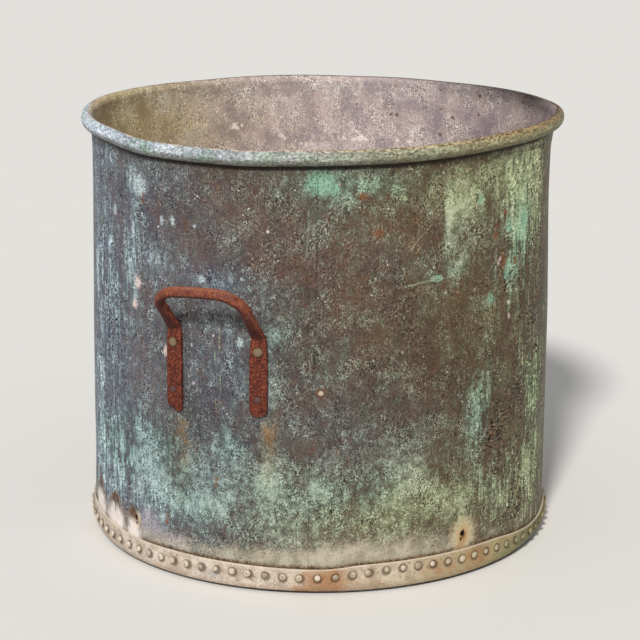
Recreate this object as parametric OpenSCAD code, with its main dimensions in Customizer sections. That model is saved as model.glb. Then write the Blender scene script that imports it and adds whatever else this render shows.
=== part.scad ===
// Riveted laundry copper: an open wash boiler with a wired rim, a flanged base pan
// and two forged lifting handles.
// Millimetres. The origin is on the floor under the middle of the base, +Z is up,
// and the handles stand on the X axis.

/* [Vessel] */
// Outside diameter of the copper wall
vessel_d = 712; // [560:4:860]
// Height from the floor to the top of the rolled rim
vessel_h = 660; // [560:5:780]
// Thickness of the wall sheets
wall_t = 2; // [1.6:0.1:2.6]
// Free play left between neighbouring pieces
fit = 0.3; // [0.2:0.05:0.4]

/* [Side seams] */
// Width of each brazed lap between the two wall sheets
seam_lap = 18; // [12:1:30]
// Direction of the seam beside the left handle, in degrees from +X
front_seam_deg = 201; // [199:1:230]
// Direction of the far seam, in degrees from +X
back_seam_deg = 21; // [19:1:50]

/* [Rolled rim] */
// Diameter of the iron wire inside the rim
wire_d = 17; // [12:0.5:20]
// How far the middle of the roll stands outside the wall face
roll_out = 4.5; // [3:0.5:6]
// Width of the slit where the rolled edge closes on the wall
roll_slit = 0.8; // [0.4:0.1:1.2]

/* [Base pan] */
// Thickness of the base plate and its flange
pan_t = 3; // [2.5:0.1:3.5]
// Height of the flange above the floor
flange_h = 41; // [38:1:50]
// Outside radius of the knuckle between base and flange
knuckle_r = 20; // [14:1:20]

/* [Base rivets] */
// Number of rivets around the base
base_rivets_n = 90; // [60:1:96]
// Direction of the first base rivet, in degrees from +X
base_rivet_phase = 0.4; // [0:0.1:4]
// Height of the rivet line above the floor
base_rivet_z = 29; // [28:0.5:31]
// Shank diameter of a base rivet
base_shank_d = 5.5; // [4:0.5:6]
// Diameter of a base rivet's domed head
base_head_d = 12; // [9:0.5:13]
// Height of a base rivet's domed head
base_head_h = 3.6; // [2:0.2:5]
// Diameter of the end formed inside the wall
base_tail_d = 9.5; // [7:0.5:12]
// Height of the end formed inside the wall
base_tail_h = 2.2; // [1:0.2:3]

/* [Handles] */
// Distance between the middles of the two legs
leg_spacing = 133; // [110:1:150]
// Width of a flattened leg
leg_w = 24; // [20:1:28]
// Thickness of a flattened leg
leg_t = 7; // [5:0.5:9]
// Height of the rounded leg ends above the floor
leg_foot_z = 260; // [200:2:280]
// Height at which the legs bend away from the wall
leg_top_z = 380; // [374:2:430]
// Diameter of the round grip bar
bar_d = 16; // [12:0.5:18]
// Rise of the bar's middle above the bend
grip_rise = 68; // [60:1:90]
// Lean of the grip away from the wall, in degrees from upright
grip_lean = 41; // [25:1:50]
// Bend radius of the two grip corners
corner_r = 35; // [22:1:40]

/* [Handle rivets] */
// Height of the upper rivets above the floor
upper_rivet_z = 359; // [336:1:362]
// Height of the lower rivets above the floor
lower_rivet_z = 289; // [280:1:316]
// Shank diameter of the handle rivets
handle_shank_d = 8; // [6:0.5:9]
// Diameter of an upper rivet's domed head
upper_head_d = 15; // [12:0.5:18]
// Height of an upper rivet's domed head
upper_head_h = 4; // [2:0.2:6]
// Diameter of a lower rivet's flattened head
lower_head_d = 11; // [10:0.5:14]
// Height of a lower rivet's flattened head
lower_head_h = 1.6; // [1:0.2:3]
// Diameter of the washers inside the wall
rove_d = 22; // [18:1:26]
// Thickness of the washers inside the wall
rove_t = 1.5; // [1:0.1:2.5]
// Diameter of the ends formed on the washers
handle_tail_d = 14; // [12:0.5:16]
// Height of the ends formed on the washers
handle_tail_h = 3; // [2:0.2:4]

/* [Wear and repair] */
// Distance of the repair rivet from the middle of the front seam, round the wall
repair_from_seam = 28.5; // [22:0.5:60]
// Height of the repair rivet above the floor
repair_z = 300; // [250:5:400]
// Diameter of the repair rivet's head
repair_head_d = 9; // [7:0.5:12]
// Diameter of the larger holes worn through the foot of the wall
worn_hole_d = 7; // [4:0.5:10]
// Diameter of the small hole under the one beyond the left handle
small_hole_d = 4; // [2:0.5:5]
// Copper left between that hole and the small one
hole_bridge = 3; // [2:0.5:4]
// Direction of the worn holes beyond the left handle, in degrees from +X
left_hole_deg = 155; // [146:0.5:160]
// Height of the worn hole beyond the left handle
left_hole_z = 73; // [64:1:90]
// Direction of the worn hole past the front seam, in degrees from +X
right_hole_deg = 240.8; // [236:0.1:246]
// Height of the worn hole past the front seam
right_hole_z = 72; // [62:1:100]

/* [Hidden] */

$fn = 96;
round_fn = 256;       // for the vessel's own circles
copper = "#8a6a52";
patina = "#5f7f76";
iron = "#8c4a2b";

// vessel
wall_r = vessel_d / 2;
wall_in_r = wall_r - wall_t;
half_t = (wall_t - fit) / 2;                  // each sheet's share of the lap
lap_deg = asin(seam_lap / 2 / wall_r);        // half the lap, as an angle
butt_deg = asin(fit / 2 / wall_r);            // half the gap between butted rolls
foot_gap = 1;                                 // between the wall's foot and the knuckle
foot_z = knuckle_r + foot_gap;                // the wall stands inside the pan's flange
cut = 1;                                      // how far cutting bodies run past a face

// rim
tube_in_r = wire_d / 2 + fit;
tube_r = tube_in_r + wall_t;
roll_r = wall_r + roll_out;
roll_z = vessel_h - tube_r;
scarf_below_roll = 1.5;                       // the sheets are thinned to just below the roll
scarf_top_z = roll_z - tube_r - scarf_below_roll;
scarf_step = 0.5;                             // and the laps stop a little lower
lap_top_z = scarf_top_z - scarf_step;

// base pan
flange_in_r = wall_r + fit;
flange_r = flange_in_r + pan_t;

// base rivets
rivet_clear = fit / 2;
base_step = 360 / base_rivets_n;
// each seam is centred on the base rivet nearest to its direction
front_seam = on_rivet(front_seam_deg);
back_seam = on_rivet(back_seam_deg);

// handles
leg_face_r = wall_r + fit;
leg_deg = asin(leg_spacing / 2 / leg_face_r);
bar_in_r = (leg_face_r + bar_d / 2) * cos(leg_deg);
half_span = (leg_face_r + bar_d / 2) * sin(leg_deg);
limb_l = grip_rise / cos(grip_lean);
forge_full_l = 26;                            // flat leg to round bar
forge_l = min(forge_full_l, limb_l - corner_r - 2);
shoulder_back = 0.25;                         // keeps the shoulder's back clear of the bar's

// wear and repair
repair_deg = front_seam + repair_from_seam / wall_r * 180 / PI;
small_hole_z = left_hole_z - (worn_hole_d + small_hole_d) / 2 - hole_bridge;
hole_reach = 30;                              // how far a hole is cut on each side of the wall
// worn holes: direction, height and diameter
worn_holes = [
    [left_hole_deg, left_hole_z, worn_hole_d],
    [left_hole_deg, small_hole_z, small_hole_d],
    [right_hole_deg, right_hole_z, worn_hole_d]
];

function on_rivet(deg) =
    base_rivet_phase + round((deg - base_rivet_phase) / base_step) * base_step;

// A domed cap of the given diameter and height, flat side on z = 0
module dome(d, h) {
    ball_r = (d * d / 4 + h * h) / (2 * h);
    rotate_extrude()
        intersection() {
            translate([0, h - ball_r]) circle(ball_r);
            square([d / 2, h]);
        }
}

// A rivet along +X: its head sits at x = grip_out and its tail at x = grip_in
module rivet(shank_d, grip_in, grip_out, head_d, head_h, tail_d, tail_h) {
    translate([grip_in, 0, 0]) rotate([0, 90, 0]) cylinder(d = shank_d, h = grip_out - grip_in);
    translate([grip_out, 0, 0]) rotate([0, 90, 0]) dome(head_d, head_h);
    translate([grip_in, 0, 0]) rotate([0, -90, 0]) dome(tail_d, tail_h);
}

// A hole along X through everything near the wall
module wall_hole(deg, z, d) {
    rotate([0, 0, deg])
        translate([wall_r - hole_reach, 0, z])
            rotate([0, 90, 0]) cylinder(d = d, h = 2 * hole_reach);
}

module base_rivet_holes() {
    for (i = [0 : base_rivets_n - 1])
        wall_hole(base_rivet_phase + i * base_step, base_rivet_z, base_shank_d + 2 * rivet_clear);
}

module handle_rivet_holes(side_deg) {
    for (side = [-1, 1], z = [upper_rivet_z, lower_rivet_z])
        wall_hole(side_deg + side * leg_deg, z, handle_shank_d + 2 * rivet_clear);
}

// Section of a sheet: up from its foot, over the wire and back to its own face
module sheet_section() {
    difference() {
        union() {
            translate([wall_in_r, foot_z]) square([wall_t, roll_z - foot_z]);
            translate([roll_r, roll_z]) circle(tube_r);
        }
        translate([roll_r, roll_z]) circle(tube_in_r);
        translate([wall_r, lap_top_z]) square([roll_slit, roll_z - lap_top_z]);
    }
}

module arc_of(from_deg, to_deg) {
    rotate([0, 0, from_deg])
        rotate_extrude(angle = to_deg - from_deg, $fn = round_fn) children();
}

// Cutting section from one radius to another, between two heights
module cut_section(from_r, to_r, from_z, to_z) {
    translate([from_r, from_z]) square([to_r - from_r, to_z - from_z]);
}

// One wall sheet: its start is thinned on the outside and its end on the inside,
// so that neighbours lap flush, and the two rolls butt over each seam
module sheet(from_deg, to_deg) {
    start_deg = from_deg - lap_deg;
    end_deg = to_deg + lap_deg;
    difference() {
        arc_of(start_deg, end_deg) sheet_section();
        arc_of(start_deg - cut, from_deg + lap_deg)
            cut_section(wall_in_r + half_t, wall_r + roll_out, foot_z - cut, scarf_top_z);
        arc_of(to_deg - lap_deg, end_deg + cut)
            cut_section(wall_in_r - roll_out, wall_r - half_t, foot_z - cut, scarf_top_z);
        arc_of(start_deg - cut, from_deg + butt_deg)
            cut_section(wall_in_r - 2 * tube_r, roll_r + 2 * tube_r, lap_top_z, vessel_h + cut);
        arc_of(to_deg - butt_deg, end_deg + cut)
            cut_section(wall_in_r - 2 * tube_r, roll_r + 2 * tube_r, lap_top_z, vessel_h + cut);
    }
}

module wall_holes() {
    base_rivet_holes();
    handle_rivet_holes(0);
    handle_rivet_holes(180);
    wall_hole(repair_deg, repair_z, base_shank_d + 2 * rivet_clear);
    for (h = worn_holes) wall_hole(h[0], h[1], h[2]);
}

module left_sheet() {
    color(patina)
        difference() {
            sheet(back_seam, front_seam);
            wall_holes();
        }
}

module right_sheet() {
    color(patina)
        difference() {
            sheet(front_seam, back_seam + 360);
            wall_holes();
        }
}

module rim_wire() {
    color(iron)
        rotate_extrude($fn = round_fn)
            translate([roll_r, roll_z]) circle(d = wire_d);
}

// Quarter ring between two radii about the origin, in the lower right quadrant
module knuckle_section(r_out, r_in) {
    intersection() {
        difference() {
            circle(r_out);
            circle(r_in);
        }
        translate([0, -r_out]) square(r_out);
    }
}

module base_pan() {
    color(copper)
        difference() {
            rotate_extrude($fn = round_fn) {
                square([flange_r - knuckle_r, pan_t]);
                translate([flange_r - knuckle_r, knuckle_r])
                    knuckle_section(knuckle_r, knuckle_r - pan_t);
                translate([flange_in_r, knuckle_r]) square([pan_t, flange_h - knuckle_r]);
            }
            base_rivet_holes();
        }
}

module base_rivets() {
    color(copper)
        for (i = [0 : base_rivets_n - 1])
            rotate([0, 0, base_rivet_phase + i * base_step])
                translate([0, 0, base_rivet_z])
                    rivet(base_shank_d, wall_in_r - fit, flange_r + fit,
                          base_head_d, base_head_h, base_tail_d, base_tail_h);
}

// A flattened leg against the wall, with a rounded lower end
module leg() {
    bend_h = leg_t * sin(grip_lean);
    translate([leg_face_r, -leg_w / 2, leg_foot_z + leg_w / 2])
        cube([leg_t, leg_w, leg_top_z + bend_h - leg_foot_z - leg_w / 2]);
    translate([leg_face_r, 0, leg_foot_z + leg_w / 2])
        rotate([0, 90, 0]) cylinder(d = leg_w, h = leg_t);
}

// The leaning frame of the grip: local Z runs up the limbs, local Y along the bar
module in_grip() {
    translate([bar_in_r, 0, leg_top_z]) rotate([0, grip_lean, 0]) children();
}

// Forged change from the flat leg to the round bar: a cone with its back and front hammered
module forged_shoulder(side) {
    taper_deg = atan((bar_d - leg_t + 1) / forge_l);
    in_grip()
        translate([0, side * half_span, 0])
            difference() {
                cylinder(d1 = leg_w, d2 = bar_d, h = forge_l);
                translate([-leg_w - bar_d / 2 - shoulder_back, -leg_w, -cut])
                    cube([leg_w, 2 * leg_w, 2 * forge_l]);
                translate([leg_t - bar_d / 2, 0, 0])
                    rotate([0, taper_deg, 0])
                        translate([0, -leg_w, -forge_l]) cube([leg_w, 2 * leg_w, 3 * forge_l]);
            }
}

module grip_bar() {
    straight_l = limb_l - corner_r;
    for (side = [-1, 1]) {
        translate([0, side * half_span, forge_l])
            cylinder(d = bar_d, h = straight_l - forge_l);
        translate([0, side * (half_span - corner_r), straight_l])
            rotate([90, 0, 90])
                rotate([0, 0, side > 0 ? 0 : 90])
                    rotate_extrude(angle = 90) translate([corner_r, 0]) circle(d = bar_d);
    }
    translate([0, half_span - corner_r, limb_l])
        rotate([90, 0, 0]) cylinder(d = bar_d, h = 2 * (half_span - corner_r));
}

module lifting_handle(side_deg) {
    difference() {
        rotate([0, 0, side_deg]) {
            for (side = [-1, 1]) {
                rotate([0, 0, side * leg_deg]) leg();
                forged_shoulder(side);
            }
            in_grip() grip_bar();
        }
        handle_rivet_holes(side_deg);
    }
}

module left_handle() {
    color(iron) lifting_handle(180);
}

module right_handle() {
    color(iron) lifting_handle(0);
}

module handle_rivets(side_deg, z, head_d, head_h) {
    for (side = [-1, 1])
        rotate([0, 0, side_deg + side * leg_deg])
            translate([0, 0, z])
                rivet(handle_shank_d, wall_in_r - rove_t - 2 * fit, leg_face_r + leg_t + fit,
                      head_d, head_h, handle_tail_d, handle_tail_h);
}

module left_upper_rivets() {
    color(copper) handle_rivets(180, upper_rivet_z, upper_head_d, upper_head_h);
}

module right_upper_rivets() {
    color(copper) handle_rivets(0, upper_rivet_z, upper_head_d, upper_head_h);
}

module left_lower_rivets() {
    color(iron) handle_rivets(180, lower_rivet_z, lower_head_d, lower_head_h);
}

module right_lower_rivets() {
    color(iron) handle_rivets(0, lower_rivet_z, lower_head_d, lower_head_h);
}

// Washers under the tails of the handle rivets, inside the wall
module roves(side_deg) {
    for (side = [-1, 1], z = [upper_rivet_z, lower_rivet_z])
        rotate([0, 0, side_deg + side * leg_deg])
            translate([wall_in_r - fit - rove_t, 0, z])
                rotate([0, 90, 0])
                    difference() {
                        cylinder(d = rove_d, h = rove_t);
                        translate([0, 0, -cut])
                            cylinder(d = handle_shank_d + 2 * rivet_clear, h = rove_t + 2 * cut);
                    }
}

module left_roves() {
    color(copper) roves(180);
}

module right_roves() {
    color(copper) roves(0);
}

module repair_rivet() {
    color(copper)
        rotate([0, 0, repair_deg])
            translate([0, 0, repair_z])
                rivet(base_shank_d, wall_in_r - fit, wall_r + fit,
                      repair_head_d, base_head_h, base_tail_d, base_tail_h);
}

left_sheet();
right_sheet();
rim_wire();
base_pan();
base_rivets();
left_handle();
right_handle();
left_upper_rivets();
right_upper_rivets();
left_lower_rivets();
right_lower_rivets();
left_roves();
right_roves();
repair_rivet();
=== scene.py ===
import math
import random

import bpy
import numpy as np
from mathutils import Matrix, Vector


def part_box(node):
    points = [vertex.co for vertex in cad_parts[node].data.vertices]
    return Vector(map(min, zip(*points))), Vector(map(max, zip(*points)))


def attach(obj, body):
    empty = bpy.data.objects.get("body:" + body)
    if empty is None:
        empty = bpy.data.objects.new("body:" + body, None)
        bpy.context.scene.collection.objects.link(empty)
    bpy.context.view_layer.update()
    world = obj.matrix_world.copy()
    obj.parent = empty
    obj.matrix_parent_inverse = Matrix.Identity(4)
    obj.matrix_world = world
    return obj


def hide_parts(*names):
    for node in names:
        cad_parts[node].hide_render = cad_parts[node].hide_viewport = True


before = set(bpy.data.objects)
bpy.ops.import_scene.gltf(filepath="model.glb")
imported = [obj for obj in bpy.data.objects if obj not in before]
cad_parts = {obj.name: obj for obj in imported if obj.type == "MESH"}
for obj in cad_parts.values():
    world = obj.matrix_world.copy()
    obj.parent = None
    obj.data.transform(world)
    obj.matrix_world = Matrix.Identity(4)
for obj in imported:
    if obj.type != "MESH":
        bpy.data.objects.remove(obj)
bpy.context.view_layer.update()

dice = random.Random(28)
frontDeg = 204.9        # the side that faces the camera, counted from +X
rightward = Vector((-math.sin(math.radians(frontDeg)), math.cos(math.radians(frontDeg)), 0))
mm = 0.001


def onRing(deg, radius, height):
    turn = math.radians(deg)
    return Vector((radius * math.cos(turn), radius * math.sin(turn), height))


def ease(value, low, high):
    t = np.clip((np.asarray(value, float) - low) / (high - low), 0, 1)
    return t * t * (3 - 2 * t)


def halfTurn(deg):
    return (deg + 180) % 360 - 180


def fromFront(co):
    # degrees round the copper, 0 at the front, positive to the right
    return halfTurn(np.degrees(np.arctan2(co[:, 1], co[:, 0])) - frontDeg)


def readRows(items, what):
    rows = np.empty(len(items) * 3)
    items.foreach_get(what, rows)
    return rows.reshape(-1, 3)


def readPoints(piece):
    return readRows(piece.data.vertices, "co")


def writePoints(piece, co):
    piece.data.vertices.foreach_set("co", co.ravel())
    piece.data.update()


def selectNone():
    for other in bpy.context.selected_objects:
        other.select_set(False)


def onlySelect(piece):
    selectNone()
    piece.select_set(True)
    bpy.context.view_layer.objects.active = piece


def finishModifiers(piece):
    onlySelect(piece)
    for step in list(piece.modifiers):
        bpy.ops.object.modifier_apply(modifier=step.name)


def thicken(piece, thickness, evenly=False):
    plate = piece.modifiers.new("plate", "SOLIDIFY")
    plate.thickness = thickness
    plate.offset = 0
    plate.use_even_offset = evenly


def settle(piece, name=None):
    # the object goes back to the origin and its place goes into the mesh
    if name:
        piece.name = name
        piece.data.name = name
    onlySelect(piece)
    bpy.ops.object.transform_apply(location=True, rotation=True, scale=True)


def handOver(piece, node, smoothDeg=None):
    onlySelect(piece)
    if smoothDeg:
        bpy.ops.object.shade_smooth_by_angle(angle=math.radians(smoothDeg))
    else:
        bpy.ops.object.shade_smooth()
    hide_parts(node)
    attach(piece, "root")


def ringWave(points, blur=6):
    # given (degrees, height) places made into a smooth ring, one value a degree
    places, heights = zip(*sorted((deg % 360, height) for deg, height in points))
    line = np.interp(np.arange(360), places, heights, period=360)
    soft = np.hanning(2 * blur + 3)
    wide = np.concatenate([line[-blur - 1:], line, line[:blur + 1]])
    return np.convolve(wide, soft / soft.sum(), mode="valid")


def waveAt(wave, deg):
    return np.interp(np.asarray(deg) % 360, np.arange(361), np.append(wave, wave[0]))


def brushed(deg, height, strokes, start=0.0, limit=1.2):
    # each stroke: degrees from the front, height, half width in degrees, half height, strength
    total = np.full(len(deg), float(start))
    for atDeg, atHeight, wide, tall, strength in strokes:
        total += strength * np.exp(-(halfTurn(deg - atDeg) / wide) ** 2 - ((height - atHeight) / tall) ** 2)
    return np.clip(total, 0, limit)


def spun(name, outline, steps, turnDeg=360, startDeg=0):
    # draws an outline of (radius, height) point by point and spins it round the Z axis
    places = [onRing(startDeg, radius, height) for radius, height in outline]
    selectNone()
    bpy.ops.mesh.primitive_plane_add(size=mm, location=places[0])
    piece = bpy.context.object
    bpy.ops.object.mode_set(mode="EDIT")
    bpy.ops.mesh.select_all(action="SELECT")
    bpy.ops.mesh.merge(type="CENTER")
    for here, there in zip(places, places[1:]):
        bpy.ops.mesh.extrude_vertices_move(TRANSFORM_OT_translate={"value": there - here})
    bpy.ops.mesh.select_all(action="SELECT")
    # the operator counts its angle the other way round
    bpy.ops.mesh.spin(steps=steps, angle=-math.radians(turnDeg), center=(0, 0, 0), axis=(0, 0, 1))
    bpy.ops.mesh.select_all(action="SELECT")
    bpy.ops.mesh.remove_doubles(threshold=0.02 * mm)
    bpy.ops.mesh.normals_make_consistent(inside=False)
    bpy.ops.object.mode_set(mode="OBJECT")
    settle(piece, name)
    return piece


def faceOut(piece, which):
    face = piece.data.polygons[which]
    if face.normal.dot(face.center) < 0:
        piece.data.flip_normals()


# sizes from the frame, and the few that it doesn't hold
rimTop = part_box("left_sheet")[1].z
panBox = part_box("base_pan")
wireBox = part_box("rim_wire")
wireR = (wireBox[1].z - wireBox[0].z) / 2
vessel = {
    "wallT": 2 * mm,
    "panT": 3 * mm,
    "slack": 0.3 * mm,
    "knuckleR": 20 * mm,
    "footZ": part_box("left_sheet")[0].z,
    "rollR": wireBox[1].x - wireR,
    "rollZ": (wireBox[0].z + wireBox[1].z) / 2,
    "curlWide": 7.8 * mm,        # beaten a little narrower than it is tall
    "rollIn": 0.25 * mm,         # keeps the beaten roll inside the solid's reach
}
vessel["wallR"] = panBox[1].x - vessel["panT"] - vessel["slack"]
vessel["curlR"] = rimTop - vessel["rollZ"] - vessel["wallT"] / 2
vessel["rollR"] += vessel["curlR"] - vessel["curlWide"] - vessel["rollIn"]
wallMid = vessel["wallR"] - vessel["wallT"] / 2

# how the hammer and a century of use left it: degrees from the front, heights in mm
handWork = {
    "lean": 0.0095,          # the rim stands a little to the right of the base
    "leanFrom": 0.660,
    "dent": 0.9 * mm,
    "waveFrom": 0.50,        # the rim's waves fade out down to this height
    "sides": [(84, 550, 46, 140, 4.4), (-84, 550, 46, 140, 1.5)],    # pressed in below the rim
    "rim": ringWave([
        (-174, -2.1), (-160, -1.8), (-146, -3.1), (-128, -1.4), (-105, -0.2), (-92, -1), (-80, -3),
        (-60, -4.4), (-45, -11.6), (-30, -11.6), (-17, -11.8), (-5, -9), (7, -7.9), (18.5, -7.1),
        (31.5, -4.4), (47, -0.7), (63, -0.2), (82, -0.2), (102, -3.6), (125, -4.2), (144, -5.4),
        (159, -3.8), (172, -4.1)], 5),
    "flangeTop": ringWave([
        (-150, 44), (-115, 46), (-92, 46.6), (-76, 48.1), (-68.2, 45.5), (-59.4, 44), (-50.6, 41.4),
        (-35.1, 43), (-18.5, 42), (-9.7, 40.9), (0, 39.9), (4.4, 41.3), (8.8, 45.2), (24.3, 46.3),
        (39.9, 46), (47.7, 45.2), (53.6, 40.4), (62.3, 34.7), (70.1, 33.3), (77.9, 36.6), (110, 44),
        (150, 42)], 3),
    "rivets": ringWave([
        (-150, 29.8), (-74, 29.2), (-59.4, 27.2), (-43.8, 27.1), (-19.5, 30.9), (-4.9, 27.9), (1, 27.7),
        (7.8, 32), (14.6, 35.7), (22.4, 36.6), (36, 31.7), (40.9, 32.9), (48.7, 30.7), (59.4, 25.2),
        (68.2, 24.8), (110, 29.8)], 3),
}
print("sizes read: wall", round(vessel["wallR"] * 2000), "mm across, rim at", round(rimTop * 1000))


def leanOver(piece):
    co = readPoints(piece)
    shift = handWork["lean"] * (co[:, 2] - handWork["leanFrom"])
    co[:, 0] += rightward.x * shift
    co[:, 1] += rightward.y * shift
    writePoints(piece, co)


def lumps(co, size, seed):
    # soft swells from a few crossed waves, about -1 to 1
    roll = random.Random(seed)
    swell = np.zeros(len(co))
    for _ in range(7):
        way = np.array([roll.gauss(0, 1) for _ in range(3)])
        way *= 2 * math.pi / size * roll.uniform(0.6, 1.4) / np.linalg.norm(way)
        swell += np.sin(co @ way + roll.uniform(0, 2 * math.pi))
    return swell / 3.5


def dentWall(co, dent):
    # beaten sheet: swells that fade out at the base, the rim and the handle legs
    radius = np.hypot(co[:, 0], co[:, 1])
    free = ease(co[:, 2], 0.05, 0.12) * (1 - ease(co[:, 2], 0.58, 0.63))
    legs = 1 - ease(np.abs(np.abs(co[:, 0]) - vessel["wallR"]), 0.004, 0.05)
    level = 1 - ease(np.abs(co[:, 2] - 0.33), 0.07, 0.13)
    free *= 1 - legs * level
    swell = 0.65 * lumps(co, 0.30, 5) + 0.35 * lumps(co, 0.11, 6) - 0.4
    pressed = brushed(fromFront(co), co[:, 2] / mm, handWork["sides"], limit=9) * mm
    pressed *= 1 - ease(co[:, 2], 0.60, 0.636)
    scale = 1 + (dent * free * swell - pressed) / radius
    co[:, 0] *= scale
    co[:, 1] *= scale
    return co


def waveRim(co):
    lift = ease(co[:, 2], handWork["waveFrom"], vessel["rollZ"] - vessel["curlR"])
    co[:, 2] += lift * waveAt(handWork["rim"], fromFront(co)) * mm
    return co


easel = {}      # the node tree and the surface in hand


class Wire:
    # an output of a node, which plus, minus, times and divided by work on
    def __init__(self, socket):
        self.socket = socket

    def __add__(self, other):
        return maths("ADD", self, other)

    def __radd__(self, other):
        return maths("ADD", other, self)

    def __sub__(self, other):
        return maths("SUBTRACT", self, other)

    def __rsub__(self, other):
        return maths("SUBTRACT", other, self)

    def __mul__(self, other):
        return maths("MULTIPLY", self, other)

    def __truediv__(self, other):
        return maths("DIVIDE", self, other)

    def __rtruediv__(self, other):
        return maths("DIVIDE", other, self)


def paint(tone):
    # a colour as it reads on screen, made linear for the nodes
    shares = [part / 255 for part in tone]
    return (*(c / 12.92 if c <= 0.04045 else ((c + 0.055) / 1.055) ** 2.4 for c in shares), 1.0)


def plug(socket, value):
    if isinstance(value, Wire):
        easel["tree"].links.new(value.socket, socket)
    elif isinstance(value, tuple) and socket.type == "RGBA":
        socket.default_value = paint(value)
    else:
        socket.default_value = value


def wires(sockets):
    # by number and by name
    found = {}
    for number, socket in enumerate(sockets):
        found[number] = Wire(socket)
        found.setdefault(socket.name, found[number])
    return found


def addNode(kind, inputs=(), **settings):
    item = easel["tree"].nodes.new("ShaderNode" + kind)
    for key, value in settings.items():
        setattr(item, key, value)
    for key, value in dict(inputs).items():
        plug(item.inputs[key], value)
    return wires(item.outputs)


def useGroup(group, inputs):
    return addNode("Group", inputs, node_tree=group)


def maths(operation, *values, clamp=False):
    return addNode("Math", enumerate(values), operation=operation, use_clamp=clamp)[0]


def vectors(operation, *values):
    return addNode("VectorMath", enumerate(values), operation=operation)


def scaled(colour, shade):
    return addNode("VectorMath", {0: colour, "Scale": shade}, operation="SCALE")[0]


def mixed(factor, first, second):
    return addNode("Mix", {0: factor, 6: first, 7: second}, data_type="RGBA")[2]


def stepped(value, low, high, bottom=0.0, top=1.0):
    return addNode("MapRange", {"Value": value, "From Min": low, "From Max": high, "To Min": bottom,
                                "To Max": top}, interpolation_type="SMOOTHSTEP")[0]


def cloudy(place, size, detail=2.0, rough=0.55, twist=0.0):
    # noise whose lumps are about as big as size
    return addNode("TexNoise", {"Vector": place, "Scale": 1 / size, "Detail": detail, "Roughness": rough,
                                "Distortion": twist})[0]


def swung(noise, gain):
    return (noise - 0.5) * gain


def moved(place, scale=(1, 1, 1), shift=(0, 0, 0)):
    return addNode("Mapping", {"Vector": place, "Scale": scale, "Location": shift})[0]


def painted(name):
    return addNode("Attribute", attribute_name=name)["Fac"]


def objectPlace():
    return addNode("TexCoord")["Object"]


def wallMap():
    return addNode("UVMap", uv_map="wallMap")[0]


def newGroup(name, takes, gives):
    # a vector has no start value, a number is one and a tone is three
    tree = bpy.data.node_groups.new(name, "ShaderNodeTree")
    easel["tree"] = tree
    for label, start in takes.items():
        kind = "Vector" if start is None else "Color" if isinstance(start, tuple) else "Float"
        socket = tree.interface.new_socket(label, in_out="INPUT", socket_type="NodeSocket" + kind)
        if start is not None:
            socket.default_value = paint(start) if kind == "Color" else start
    for label in gives:
        kind = "Color" if label == "Color" else "Float"
        tree.interface.new_socket(label, in_out="OUTPUT", socket_type="NodeSocket" + kind)
    return wires(tree.nodes.new("NodeGroupInput").outputs), tree.nodes.new("NodeGroupOutput").inputs


def newMaterial(name, gloss=0.14):
    material = bpy.data.materials.new(name)
    material.use_nodes = True
    easel["tree"] = material.node_tree
    easel["surface"] = material.node_tree.nodes["Principled BSDF"].inputs
    easel["surface"]["Specular IOR Level"].default_value = gloss
    return material


def coat(colour, roughness, height, depth, strength):
    plug(easel["surface"]["Base Color"], colour)
    plug(easel["surface"]["Roughness"], roughness)
    bump = addNode("Bump", {"Height": height, "Distance": depth, "Strength": strength})[0]
    plug(easel["surface"]["Normal"], bump)


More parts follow.
